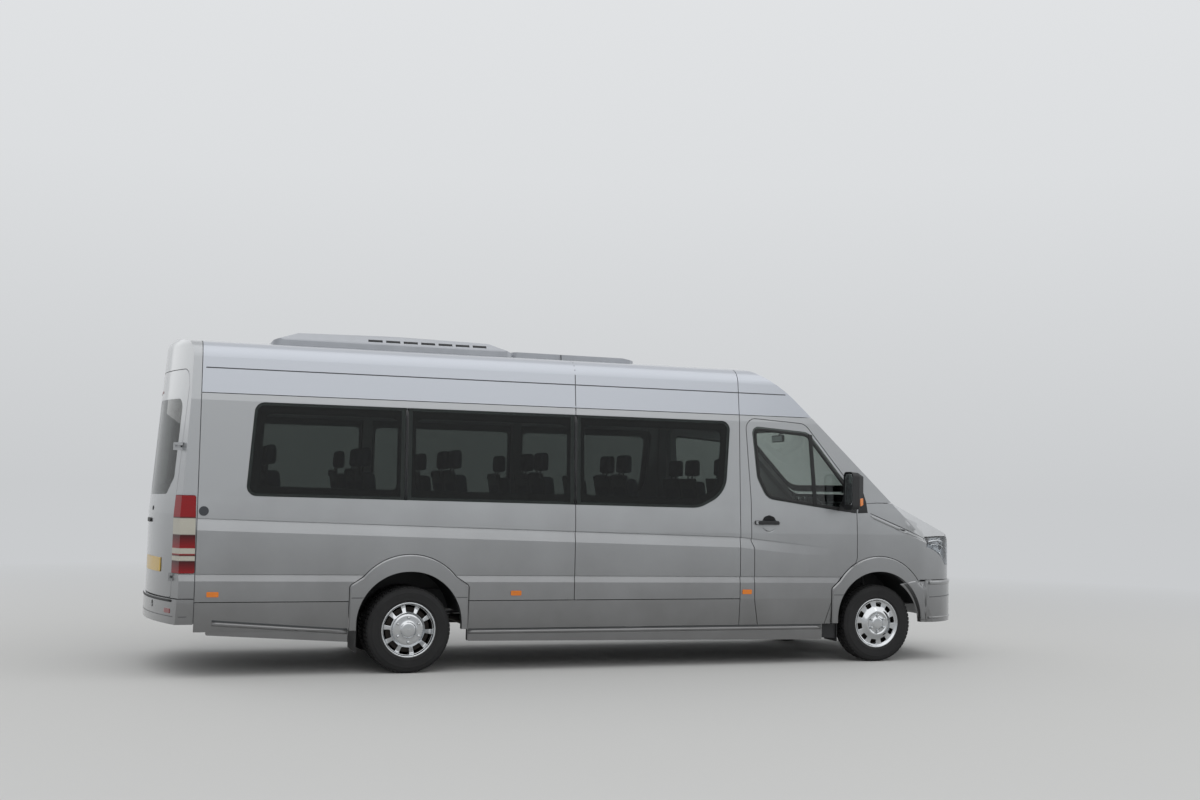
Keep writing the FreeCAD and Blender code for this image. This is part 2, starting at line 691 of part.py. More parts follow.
SCUTTLE_DEPTH = 62
scuttle_ring = turned([(TURN_X, 900, 0), (SCREEN_FOOT_X + SCUTTLE_DEPTH, 900, 0),
                       (SCREEN_FOOT_X + SCUTTLE_DEPTH, 2000, 0), (TURN_X, 2000, 0)], TURN_X)
scuttle_gap = turned([(TURN_X, 900, 0), (SCREEN_FOOT_X + SCUTTLE_DEPTH + S.seam, 900, 0),
                      (SCREEN_FOOT_X + SCUTTLE_DEPTH + S.seam, 2000, 0), (TURN_X, 2000, 0)], TURN_X)
BONNET_FOOT = 1068
bonnet_layer = outer.cut(envelope(S.bonnet_wall))
bonnet_zone = plan_prism(bonnet_outline(), BONNET_FOOT, 2000)
bonnet = bonnet_layer.common(bonnet_zone).cut(scuttle_gap)
bonnet_gap = plan_prism(bonnet_outline(S.seam), BONNET_FOOT - S.seam, 2000)


def lamp_outline(grow=0.0):
    rows = [
        (-1010, 1118, 0), (-1010, 1085, 0), (-858, 878, 30), (-680, 845, 60), (-575, 900, 60),
        (-600, 1060, 20), (-880, 1138, 60),
    ]
    return inset(rows, -grow)


lamp_x = NOSE_X - 495
lamp_cut = front_prism(lamp_outline(S.seam / 2), lamp_x - S.seam, FAR)
lamp_zone = front_prism(lamp_outline(-S.seam / 2), lamp_x, FAR)
lamp_layer = envelope(1).cut(envelope(S.lamp_wall))
headlamp = lamp_layer.common(lamp_zone)
keep("headlamps", both_sides(solids(headlamp)))
bonnet = bonnet.cut(lamp_cut).cut(mirrored(lamp_cut))
keep("bonnet", solids(bonnet))


def wing_outline():
    x1 = DOOR_FRONT_X
    half = S.seam / 2
    return [
        (x1 - 324 + S.seam, S.sill_height - 5, 0), (x1 - 253 + S.seam, 561, 75),
        (x1 - 153 + S.seam, 757, 55), (x1 + S.seam, 900, 115), (x1 + S.seam, 1425 - half, 0),
        (x1 + 215, 1440 - S.seam, 0), (x1 + 560, 1440 - S.seam, 0), (x1 + 1400, 1440, 0),
        (x1 + 1400, S.moulding_height - 45, 0), (FRONT_X + S.arch_radius, S.moulding_height - 45, 0),
        (FRONT_X + 100, S.sill_height - 5, 0),
    ]


grille_rows = [(-500, 765, 40), (500, 765, 40), (592, BONNET_FOOT + 30, 20), (-592, BONNET_FOOT + 30, 20)]
grille_cut = front_prism(grille_rows, NOSE_X - 400, FAR)
wing = shell.common(side_prism(wing_outline(), -WIDE, -450))
wing = wing.cut(bonnet_gap).cut(scuttle_gap.common(block(0, FAR, -850, 0, 1300, 2000)))
wing = wing.cut(grille_cut).cut(lamp_cut).cut(front_flare_cut)
wing = with_creases(wing)
keep("wings", both_sides(solids(wing)))

scuttle = outer.cut(envelope(20)).common(scuttle_ring)
scuttle = scuttle.common(block(SCREEN_FOOT_X - 300, FAR, -845, 845, 1380, 1600))
scuttle = scuttle.cut(front_prism(screen_outline(-2), SCREEN_FOOT_X - 1200, FAR)).cut(ring)
scuttle = scuttle.cut(mirrored(ring)).cut(wing).cut(mirrored(wing))
keep("scuttle", solids(scuttle))


# Grille with level slats, between the lamps.

def grille_piece():
    layer = envelope(4).cut(envelope(30))
    inner = inset(grille_rows, 30)
    frame = front_prism(inset(grille_rows, 3), NOSE_X - 400, FAR)
    frame = frame.cut(front_prism(inner, NOSE_X - 400, FAR))
    bars = [frame]
    pitch = 62
    for index in range(1, 5):
        height = 765 + index * pitch
        bars.append(block(NOSE_X - 400, FAR, -540, 540, height - 11, height + 11))
    zone = front_prism(inset(grille_rows, 3), NOSE_X - 400, FAR)
    bars = fused(bars[0], *bars[1:]).common(zone).cut(bonnet_gap).cut(lamp_cut).cut(mirrored(lamp_cut))
    return layer.common(bars)


keep("grille", solids(grille_piece()))


# Bumpers follow the body's form, a little proud of it.

def bumper_layer(proud, depth):
    return envelope(-proud).cut(envelope(depth))


front_bumper_top = S.moulding_height - 50
bumper_start = FRONT_X + S.arch_radius + S.flare_band - 10
front_bumper = bumper_layer(S.nose_setback, S.bumper_wall)
front_bumper = front_bumper.common(block(bumper_start, FAR, -WIDE, WIDE, S.sill_height + 2, front_bumper_top))
front_bumper = front_bumper.cut(front_flare_cut).cut(mirrored(front_flare_cut))
intake = front_prism([(-430, 455, 30), (430, 455, 30), (470, 575, 30), (-470, 575, 30)], NOSE_X - 400, FAR)
front_bumper = front_bumper.cut(intake)

# Towing-eye sockets lie in the right-hand rail's ends, behind a hole in each bumper.

TOW_Y = -S.rail_half - S.rail_width - S.tow_wall - S.fit
TOW_Z = S.rail_base + S.rail_height / 2
FRONT_TOW_X = NOSE_X - 100
REAR_TOW_X = TAIL_X + 130
tow_access = Part.makeCylinder(S.tow_access, 2 * FAR, V(-FAR, TOW_Y, TOW_Z), V(1, 0, 0))


def tow_socket(mouth_x, outward):
    """A thick tube on the rail's outer face. Its bore runs along the vehicle and opens outward."""
    mouth = V(mouth_x, TOW_Y, TOW_Z)
    inward = V(-outward, 0, 0)
    tube = Part.makeCylinder(S.tow_wall, S.tow_length, mouth, inward)
    return tube.cut(Part.makeCylinder(S.tow_radius, S.tow_length, mouth, inward))


keep("front_bumper", solids(front_bumper.cut(tow_access)))
keep("tow_sockets", solids(tow_socket(FRONT_TOW_X, 1), tow_socket(REAR_TOW_X, -1)))

rear_bumper_top = S.rear_door_base - 8
rear_bumper = bumper_layer(S.tail_setback, S.bumper_wall)
rear_bumper = rear_bumper.common(block(-FAR, TAIL_SEAM_X - S.seam / 2, -WIDE, WIDE, 410, rear_bumper_top))
keep("rear_bumper", solids(rear_bumper.cut(tow_access)))


# Rear surround, rear doors and their glass, tail lamps.

TAIL_REACH = TAIL_SEAM_X - 20


def rear_door_outline(grow=0.0):
    """Right-hand door, seen along the vehicle: Y, Z, radius."""
    half = S.rear_door_half
    rows = [
        (-half, S.rear_door_base, 30), (-half, S.rear_door_top - 130, 0), (-half + 42, S.rear_door_top, 90),
        (-S.seam / 2, S.rear_door_top + 12, 0), (-S.seam / 2, S.rear_door_base, 0),
    ]
    return inset(rows, -grow)


def rear_glass_outline(depth=0.0):
    half = S.rear_door_half
    rows = [
        (-half + 70, 1530, 60), (-half + 75, 2150, 90), (-70, 2160, 50), (-70, 1392, 50),
        (-half + 190, 1400, 60),
    ]
    return inset(rows, depth)


def lamp_rear_outline(grow=0.0):
    """Tail lamp, seen from the side."""
    rows = [
        (-FAR, 800, 0), (TAIL_SEAM_X - 4, 800, 15), (TAIL_SEAM_X - 14, 1395, 15), (-FAR, 1395, 0),
    ]
    return inset(rows, -grow)


tail_zone = block(-FAR, TAIL_SEAM_X - S.seam / 2, -WIDE, WIDE, S.sill_height, 3000)
surround = shell.common(tail_zone)
rear_cut = front_prism(rear_door_outline(S.seam), -FAR, TAIL_REACH)
lamp_gap = S.seam / 2
tail_lamp_limit = front_prism([(-WIDE, 700, 0), (-S.rear_door_half - S.seam - 1, 700, 0),
                               (-S.rear_door_half - S.seam - 1, 1500, 0), (-WIDE, 1500, 0)],
                              -FAR, TAIL_SEAM_X + 60)
tail_lamp_zone = side_prism(lamp_rear_outline(), -WIDE, -500).common(tail_lamp_limit)
tail_lamp_gap = side_prism(lamp_rear_outline(lamp_gap), -WIDE, -500).common(tail_lamp_limit)
surround = surround.cut(rear_cut).cut(mirrored(rear_cut))
surround = surround.cut(block(-FAR, TAIL_SEAM_X, -WIDE, WIDE, 200, rear_bumper_top + S.seam))
surround = with_creases(surround)
surround = mirrored(with_creases(mirrored(surround)))
lamp_bed = envelope(-30).cut(envelope(32))
surround = surround.cut(lamp_bed.common(tail_lamp_gap)).cut(mirrored(lamp_bed.common(tail_lamp_gap)))


def rear_hinge(z):
    """Fixed and moving halves of a barrel hinge on the right-hand rear door."""
    lean = max(0, z - S.tail_lean_start) * TAIL_SLOPE
    x = REAR_HINGE_X
    third = S.hinge_length / 3
    low = z - S.hinge_length / 2
    deep = S.hinge_proud + lean + 8
    y = -S.rear_door_half
    fixed = []
    for z0 in (low, low + 2 * third):
        fixed.append(rod(V(x, y, z0), V(x, y, z0 + third), S.hinge_radius))
        fixed.append(block(x - 5, x + deep, y - 20, y, z0, z0 + third))
    z0 = low + third + S.fit
    z1 = low + 2 * third - S.fit
    moving = fused(rod(V(x, y, z0), V(x, y, z1), S.hinge_radius), block(x - 5, x + deep - 16, y, y + 52, z0, z1))
    return fused(*fixed), moving


lower_fixed, lower_moving = rear_hinge(768)
upper_fixed, upper_moving = rear_hinge(1772)
surround = fused(surround, lower_fixed, upper_fixed, mirrored(lower_fixed), mirrored(upper_fixed))
keep("rear_surround", solids(surround))
tail_lamp = envelope(-4).cut(envelope(32 - S.fit)).common(tail_lamp_zone)
keep("tail_lamps", both_sides(solids(tail_lamp)))

rear_door = shell.common(front_prism(rear_door_outline(), -FAR, TAIL_REACH))
rear_rebate = rebate_layer.common(front_prism(rear_glass_outline(), -FAR, TAIL_REACH))
rear_door = rear_door.cut(rear_rebate)
rear_door = rear_door.cut(front_prism(rear_glass_outline(S.glass_lap), -FAR, TAIL_REACH))
rear_glass = glass_layer.common(front_prism(rear_glass_outline(S.fit + 1.2), -FAR, TAIL_REACH))
rear_door = fused(rear_door, lower_moving, upper_moving)
keep("rear_door_right", solids(rear_door))
keep("rear_door_left", mirrored(solids(rear_door)))
keep("rear_door_glass_right", rear_glass)
keep("rear_door_glass_left", mirrored(rear_glass))


# Wheel arch flares, proud of the panels they sit between.

def flare(axle_x, foot, low, high_x=None):
    rows = inset(flare_outline(axle_x, foot), S.seam / 2)
    side = S.body_half_width
    wide = outline_face(rows, lambda p: V(p.x, -side - 1, p.y)).OuterWire
    narrow = outline_face(inset(rows, 14), lambda p: V(p.x, -side - 16, p.y)).OuterWire
    body = fused(side_prism(rows, -side - 1, -side + S.wall), Part.makeLoft([wide, narrow], True, True))
    body = body.common(block(axle_x - 700, axle_x + 700, -side - S.flare_proud, -side + S.wall, low, 1200))
    body = body.cut(side_prism(arch_outline(axle_x), -WIDE, -500))
    return body.cut(envelope(S.wall))


rear_flare = flare(REAR_X, S.rear_flare_foot, S.sill_height)
front_flare = flare(FRONT_X, S.front_flare_foot, S.sill_height + 5)
keep("arch_flares", both_sides(solids(rear_flare, front_flare)))


# Air-conditioning unit and the low pod ahead of it, seated on the roof.

def roof_unit():
    rear_x = TAIL_X + S.aircon_rear_ahead
    front_x = TAIL_X + S.aircon_front_ahead
    rows = [
        (rear_x, 2560, 0), (rear_x, 2672, 40), (rear_x + 215, S.aircon_top - 12, 60),
        ((rear_x + front_x) / 2, S.aircon_top + 4, 4000), (front_x - 230, S.aircon_top - 12, 120),
        (front_x, 2665, 30), (front_x, 2560, 0),
    ]
    half = S.aircon_half_width
    unit = side_prism(rows, -half, half)
    plan = plan_prism(box_rows(rear_x, front_x, -half, half, 90), 2500, 2800)
    edge = front_prism([(-half, 2560, 0), (half, 2560, 0), (half, 2690, 30), (half - 60, 2770, 60),
                        (-half + 60, 2770, 60), (-half, 2690, 30)], rear_x, front_x)
    return unit.common(plan).common(edge)


def roof_pod():
    rear_x = TAIL_X + S.aircon_front_ahead + 8
    front_x = TAIL_X + S.pod_front_ahead
    half = S.pod_half_width
    rows = [
        (rear_x, 2560, 0), (rear_x, S.pod_top, 0), (front_x - 120, S.pod_top - 2, 100),
        (front_x, 2668, 10), (front_x, 2560, 0),
    ]
    pod = side_prism(rows, -half, half)
    return pod.common(plan_prism(box_rows(rear_x, front_x, -half, half, 60), 2500, 2800))


roof_clear = envelope(-S.fit)
keep("aircon_unit", solids(roof_unit().cut(roof_clear), roof_pod().cut(roof_clear)))


# Wheels: tyres and rims turned about the axle line, in their own frames.

def sketch_on(body, role, name):
    plane = [item for item in body.Origin.OriginFeatures if item.Role == role][0]
    sketch = body.newObject("Sketcher::SketchObject", name)
    sketch.AttachmentSupport = (plane, [""])
    sketch.MapMode = "FlatFace"
    return sketch


def outline_sketch(body, role, name, corners):
    """A closed outline whose corners are bound to the sheet, each as two expressions."""
    import Sketcher
    sketch = sketch_on(body, role, name)
    points = [(evaluate(across), evaluate(up)) for across, up in corners]
    count = len(points)
    for index in range(count):
        start = points[index]
        end = points[(index + 1) % count]
        sketch.addGeometry(Part.LineSegment(V(start[0], start[1], 0), V(end[0], end[1], 0)), False)
    for index in range(count):
        sketch.addConstraint(Sketcher.Constraint("Coincident", index, 2, (index + 1) % count, 1))
    for index, (across, up) in enumerate(corners):
        for kind, formula, value in (("DistanceX", across, points[index][0]),
                                     ("DistanceY", up, points[index][1])):
            if abs(value) < 1e-9:
                axis = -2 if kind == "DistanceX" else -1
                sketch.addConstraint(Sketcher.Constraint("PointOnObject", index, 1, axis))
                continue
            number = sketch.addConstraint(Sketcher.Constraint(kind, -1, 1, index, 1, value))
            sketch.setExpression(f"Constraints[{number}]", formula)
    return sketch


def evaluate(formula):
    return float(sheet.evalExpression(formula.replace("dims.", "")))


def turned_body(label, corners):
    """A body of revolution about its own Y axis: corners are (radius, along the axle)."""
    body = doc.addObject("PartDesign::Body", label)
    body.Label = label
    sketch = outline_sketch(body, "XY_Plane", f"{label}_profile", corners)
    revolution = body.newObject("PartDesign::Revolution", f"{label}_turn")
    revolution.Profile = sketch
    revolution.ReferenceAxis = (sketch, ["V_Axis"])
    revolution.Angle = 360
    body.Tip = revolution
    return body


TYRE_CORNERS = [
    ("dims.bead_radius", "-dims.bead_width / 2"),
    ("dims.bead_radius + 12", "-dims.bead_width / 2"),
    ("dims.tyre_radius - 70", "-dims.tyre_width / 2"),
    ("dims.tyre_radius - 25", "-dims.tyre_width / 2 + 3"),
    ("dims.tyre_radius - 5", "-dims.tyre_width / 2 + 17"),
    ("dims.tyre_radius", "-dims.tyre_width / 2 + 36"),
    ("dims.tyre_radius", "dims.tyre_width / 2 - 36"),
    ("dims.tyre_radius - 5", "dims.tyre_width / 2 - 17"),
    ("dims.tyre_radius - 25", "dims.tyre_width / 2 - 3"),
    ("dims.tyre_radius - 70", "dims.tyre_width / 2"),
    ("dims.bead_radius + 12", "dims.bead_width / 2"),
    ("dims.bead_radius", "dims.bead_width / 2"),
]


def rim_corners(disc, dish):
    """Barrel, and a disc that meets the hub at one depth and the barrel at another."""
    fit = "0.2"
    return [
        (f"dims.bead_radius - {fit}", "-dims.bead_width / 2"),
        (f"dims.bead_radius - {fit}", "dims.bead_width / 2 + 0.3"),
        ("dims.bead_radius + 8", "dims.bead_width / 2 + 0.3"),
        ("dims.bead_radius + 6", "dims.bead_width / 2 + 9"),
        ("dims.bead_radius - 14", "dims.bead_width / 2 + 6"),
        ("dims.bead_radius - 30", f"{dish}"),
        ("dims.slot_circle - 40", f"{disc} + 6"),
        ("dims.hub_radius", f"{disc}"),
        ("dims.hub_radius - 14", f"{disc} + 34"),
        ("0", f"{disc} + 40"),
        ("0", f"{disc} + 8"),
        ("dims.stub_radius + dims.stub_clearance", f"{disc} + 8"),
        ("dims.stub_radius + dims.stub_clearance", f"{disc} - 52"),
        ("dims.hub_radius - 10", f"{disc} - 52"),
        ("dims.hub_radius - 10", f"{disc} - dims.disc_wall"),
        ("dims.slot_circle - 40", f"{disc} + 6 - dims.disc_wall"),
        ("dims.bead_radius - 38", f"{dish} - dims.disc_wall"),
        ("dims.bead_radius - 24", "-dims.bead_width / 2 + 20"),
        ("dims.bead_radius - 14", "-dims.bead_width / 2"),
    ]


def placed(body, x, y, z, half_turn):
    rotation = FreeCAD.Rotation(UP, 180 if half_turn else 0)
    body.Placement = FreeCAD.Placement(V(x, y, z), rotation)


def slots(label, body):
    """Round slots through the disc, repeated about the axle."""
    import Sketcher
    sketch = sketch_on(body, "XZ_Plane", f"{label}_slot")
    centre = V(S.slot_circle, 0, 0)
    sketch.addGeometry(Part.Circle(centre, UP, S.slot_radius), False)
    across = sketch.addConstraint(Sketcher.Constraint("DistanceX", -1, 1, 0, 3, S.slot_circle))
    sketch.setExpression(f"Constraints[{across}]", "dims.slot_circle")
    sketch.addConstraint(Sketcher.Constraint("PointOnObject", 0, 3, -1))
    size = sketch.addConstraint(Sketcher.Constraint("Radius", 0, S.slot_radius))
    sketch.setExpression(f"Constraints[{size}]", "dims.slot_radius")
    pocket = body.newObject("PartDesign::Pocket", f"{label}_slot_cut")
    pocket.Profile = sketch
    pocket.Type = 1
    pocket.Midplane = True
    body.Tip = pocket
    pattern = body.newObject("PartDesign::PolarPattern", f"{label}_slots")
    pattern.Originals = [pocket]
    pattern.Axis = (sketch, ["V_Axis"])
    pattern.Angle = 360
    pattern.setExpression("Occurrences", "dims.slot_count")
    body.Tip = pattern
    return pattern


FRONT_DISC = "dims.bead_width / 2 - 2"
FRONT_DISH = "dims.bead_width / 2 - 14"
TWIN_DISC = "dims.bead_width / 2 - 128"
TWIN_DISH = "dims.bead_width / 2 - 84"


TWIN_CORNERS = [
    ("dims.bead_radius - 0.2", "-dims.bead_width / 2"),
    ("dims.bead_radius - 0.2", "dims.bead_width / 2 + 0.3"),
    ("dims.bead_radius + 8", "dims.bead_width / 2 + 0.3"),
    ("dims.bead_radius + 6", "dims.bead_width / 2 + 9"),
    ("dims.bead_radius - 14", "dims.bead_width / 2 + 6"),
    ("dims.bead_radius - 22", "dims.bead_width / 2 - 13"),
    ("dims.bead_radius - 28", "-dims.bead_width / 2 + 31"),
    ("dims.slot_circle", "-dims.twin_pitch / 2 + 25"),
    ("dims.hub_radius", "-dims.twin_pitch / 2 + 13"),
    ("dims.hub_radius - 12", "-dims.twin_pitch / 2 + 21"),
    ("dims.hub_radius - 12", "-20"),
    ("dims.hub_radius - 28", "-6"),
    ("0", "0"),
    ("0", "-14"),
    ("dims.spindle_radius + dims.stub_clearance", "-14"),
    ("dims.spindle_radius + dims.stub_clearance", "-dims.twin_pitch - 24"),
    ("dims.hub_radius + 22", "-dims.twin_pitch - 24"),
    ("dims.hub_radius + 22", "-dims.twin_pitch / 2 - 21"),
    ("dims.slot_circle", "-dims.twin_pitch / 2 - 21"),
    ("dims.bead_radius - 26", "-dims.twin_pitch / 2 - 57"),
    ("dims.bead_radius - 20", "-dims.twin_pitch / 2 - 80"),
    ("dims.bead_radius - 20", "-dims.twin_pitch - dims.bead_width / 2 + 13"),
    ("dims.bead_radius - 14", "-dims.twin_pitch - dims.bead_width / 2 - 6"),
    ("dims.bead_radius + 6", "-dims.twin_pitch - dims.bead_width / 2 - 9"),
    ("dims.bead_radius + 8", "-dims.twin_pitch - dims.bead_width / 2 - 0.3"),
    ("dims.bead_radius - 0.2", "-dims.twin_pitch - dims.bead_width / 2 - 0.3"),
    ("dims.bead_radius - 0.2", "-dims.twin_pitch + dims.bead_width / 2"),
    ("dims.bead_radius - 24", "-dims.twin_pitch + dims.bead_width / 2"),
    ("dims.slot_circle - 2", "-dims.twin_pitch / 2 - 3"),
    ("dims.slot_circle - 2", "-dims.twin_pitch / 2 + 9"),
    ("dims.bead_radius - 26", "-dims.bead_width / 2"),
]

for side, sign in (("right", -1), ("left", 1)):
    flip = side == "right"
    front_y = sign * S.front_wheel_half
    twin_y = sign * S.rear_wheel_half
    inner_y = sign * (S.rear_wheel_half - S.twin_pitch)
    front_tyre = turned_body(f"front_tyre_{side}", TYRE_CORNERS)
    placed(front_tyre, FRONT_X, front_y, S.tyre_radius, flip)
    pieces[f"front_tyre_{side}"] = front_tyre
    twins = []
    for name, y in (("outer", twin_y), ("inner", inner_y)):
        body = turned_body(f"rear_{name}_tyre_{side}", TYRE_CORNERS)
        placed(body, REAR_X, y, S.tyre_radius, flip)
        twins.append(body)
    pair = doc.addObject("Part::Compound", f"rear_tyres_{side}")
    pair.Links = twins
    pieces[f"rear_tyres_{side}"] = pair
    for label, corners, x, y in (
        (f"front_wheel_{side}", rim_corners(FRONT_DISC, FRONT_DISH), FRONT_X, front_y),
        (f"rear_wheel_{side}", TWIN_CORNERS, REAR_X, twin_y),
    ):
        body = turned_body(label, corners)
        slots(label, body)
        placed(body, x, y, S.tyre_radius, flip)
        pieces[label] = body


# Front knuckles with their struts: all of it turns about the line from ball joint to top mount.

BALL = V(FRONT_X, -S.ball_half, S.ball_height)
STRUT_TOP = V(FRONT_X, -S.strut_top_half, S.strut_top_height)


def on_kingpin(height):
    share = (height - BALL.z) / (STRUT_TOP.z - BALL.z)
    return BALL + (STRUT_TOP - BALL) * share


def knuckle_piece():
    hub_inner = S.front_wheel_half + S.bead_width / 2 - 2 - 52
    stub_end = hub_inner + 58
    stub = rod(V(FRONT_X, -S.ball_half + 10, S.tyre_radius), V(FRONT_X, -stub_end, S.tyre_radius),
               S.stub_radius)
    shoulder = rod(V(FRONT_X, -S.ball_half + 30, S.tyre_radius),
                   V(FRONT_X, -hub_inner + 6, S.tyre_radius), S.stub_radius + 24)
    foot = S.ball_height + 30
    upright = front_prism([(-S.ball_half - 20, foot, 6), (-S.ball_half + 30, foot, 6),
                           (-S.ball_half + 62, 470, 10), (-S.ball_half + 12, 470, 10)],
                          FRONT_X - 34, FRONT_X + 34)
    tube = rod(on_kingpin(400), on_kingpin(690), S.strut_radius)
    piston = rod(on_kingpin(680), on_kingpin(S.strut_top_height - 8), 11)
    arm = plan_prism([(FRONT_X - 20, -S.ball_half + 20, 0), (FRONT_X - 20, -S.ball_half + 60, 0),
                      (FRONT_X - 150, -S.ball_half + 95, 14), (FRONT_X - 150, -S.ball_half + 60, 14)],
                     300, 322)
    ball = Part.makeSphere(S.ball_radius, BALL)
    stud = rod(BALL, on_kingpin(foot + 20), S.ball_radius - 6)
    return fused(stub, shoulder, upright, tube, piston, arm, ball, stud)


knuckle = knuckle_piece()
keep("knuckle_right", knuckle)
keep("knuckle_left", mirrored(knuckle))


# Front suspension: subframe, lower arms out to the ball joints, and the struts' top mounts.

def front_suspension():
    beam = block(FRONT_X - 110, FRONT_X + 110, -400, 400, 215, 292)
    engine_foot = block(FRONT_X - 60, FRONT_X + 60, -230, -160, 285, S.engine_base - S.fit)
    arm_top = S.ball_height + 2
    arm = plan_prism([(FRONT_X - 170, -330, 10), (FRONT_X + 170, -330, 10), (FRONT_X + 170, -400, 30),
                      (FRONT_X + 30, -S.ball_half - 26, 24), (FRONT_X - 30, -S.ball_half - 26, 24),
                      (FRONT_X - 170, -400, 30)], arm_top - 20, arm_top)
    cup = rod(V(FRONT_X, -S.ball_half, arm_top - 26), V(FRONT_X, -S.ball_half, arm_top + 8), S.ball_radius + 14)
    socket = fused(Part.makeSphere(S.ball_radius + S.fit, BALL), rod(BALL, on_kingpin(arm_top + 40), S.ball_radius))
    arm = fused(arm, cup).cut(socket)
    web = block(FRONT_X - 110, FRONT_X + 110, -400, -330, arm_top - 20, 230)
    post = block(FRONT_X - 100, FRONT_X + 100, -S.rail_half - 30, -S.rail_half + 60, 280, S.rail_base)
    mount = rod(V(FRONT_X, -S.strut_top_half + 1, S.strut_top_height - 2),
                V(FRONT_X, -S.strut_top_half + 1, S.arch_height + S.arch_radius + 1), 60)
    return fused(beam, arm, web, post, engine_foot, mirrored(arm), mirrored(web), mirrored(post),
                 mirrored(engine_foot)), mount


subframe, strut_mount = front_suspension()
keep("front_suspension", solids(subframe, strut_mount, mirrored(strut_mount)))


# Ladder frame: two rails and their crossmembers, trimmed to the inside of both bumpers.

def ladder_frame():
    top = S.rail_base + S.rail_height
    rail = block(-FAR, FAR, -S.rail_half - S.rail_width, -S.rail_half, S.rail_base, top)
    hollow = block(-FAR, FAR, -S.rail_half - S.rail_width + 6, -S.rail_half + 1,
                   S.rail_base + 6, top - 6)
    rail = rail.cut(hollow)
    members = [rail, mirrored(rail)]
    for x in (TAIL_X + 200, REAR_X - 650, REAR_X + 650, REAR_X + 1600, FRONT_X - 1300, FRONT_X - 420,
              FRONT_X + 560):
        members.append(block(x - 45, x + 45, -S.rail_half, S.rail_half, S.rail_base + 15, top))
    frame = fused(members[0], *members[1:])
    return frame.common(envelope(S.bumper_wall + S.fit))


keep("chassis_frame", solids(ladder_frame()))


# Floor, wheel houses, front bulkhead and the inner front structure.

def wheel_house(axle_x, inner_y, low_z):
    side = S.body_half_width - S.wall - S.fit
    axis = V(axle_x, -side, S.arch_height)
    drum = Part.makeCylinder(S.arch_radius + 14, side - inner_y, axis, ACROSS)
    hollow = Part.makeCylinder(S.arch_radius + 6, side - inner_y - 8, axis, ACROSS)
    shell_part = drum.cut(hollow)
    return shell_part.common(block(axle_x - 600, axle_x + 600, -side, 0, low_z, 1000))


rear_house = wheel_house(REAR_X, HOUSE_Y, 480)
front_house = wheel_house(FRONT_X, HOUSE_Y, 520)
keep("wheel_houses", both_sides(solids(rear_house, front_house)))

floor_room = envelope(S.wall + 6)
floor = floor_room.common(block(-FAR, FRONT_X - 340, -WIDE, WIDE, S.floor_base, FLOOR_TOP))
floor = floor.cut(body_frame)
for well in (REAR_WELL, FRONT_WELL):
    floor = floor.cut(well).cut(mirrored(well))
keep("floor_pan", solids(floor))


def bulkhead_piece():
    x0 = FRONT_X - 338
    end_x = NOSE_X - 200
    plate_y = HOUSE_Y + 8
    dash_wall = envelope(S.wall + 6).common(block(x0, x0 + 12, -WIDE, WIDE, S.floor_base, 1395))
    inside = envelope(S.wall + S.fit)
    plate = block(x0 + 12, end_x, -plate_y - 8, -plate_y, S.floor_base, 1010)
    shelf = inside.common(block(x0 + 12, end_x - 60, -WIDE, -plate_y - 4, 985, 1010))
    ledge = inside.common(block(x0 + 12, end_x - 5, -WIDE, -plate_y - 4, 640, 665))
    foot = block(x0 + 12, end_x, -plate_y - 8, -S.rail_half, S.floor_base, S.floor_base + 8)
    half = fused(plate, shelf, ledge, foot).cut(FRONT_WELL)
    cross = block(end_x - 60, end_x - 25, -plate_y - 4, plate_y + 4, S.floor_base, S.floor_base + 50)
    upper = block(end_x - 60, end_x - 25, -plate_y - 4, plate_y + 4, 960, 1010)
    dash_wall = dash_wall.cut(FRONT_WELL).cut(mirrored(FRONT_WELL))
    return fused(dash_wall, half, mirrored(half), cross, upper)


front_structure = bulkhead_piece()
keep("front_structure", solids(front_structure))


# Jambs: flanges behind the edges of the doors and the bonnet, which close against them.

jamb_layer = frame_layer(S.wall + S.fit, S.wall + 12)
door_ring = side_cut(door_outline(14)).cut(side_cut(door_outline(-16)))
door_jamb = jamb_layer.common(door_ring).cut(front_structure).cut(block(0, FAR, -WIDE, 0, 0, S.sill_height))
rear_ring = front_prism(rear_door_outline(14), -FAR, TAIL_REACH)
rear_ring = rear_ring.cut(front_prism(rear_door_outline(-16), -FAR, TAIL_REACH))
rear_ring = rear_ring.common(block(-FAR, TAIL_SEAM_X - RIB_HALF - 5, -WIDE, -60, FLOOR_TOP + S.fit, 3000))
rear_jamb = jamb_layer.common(rear_ring).cut(floor).cut(body_frame).cut(rear_swing)
keep("door_jambs", both_sides(solids(door_jamb.cut(body_frame).cut(floor), rear_jamb)))

# Rear axle: tube, differential, spindles and leaf springs.

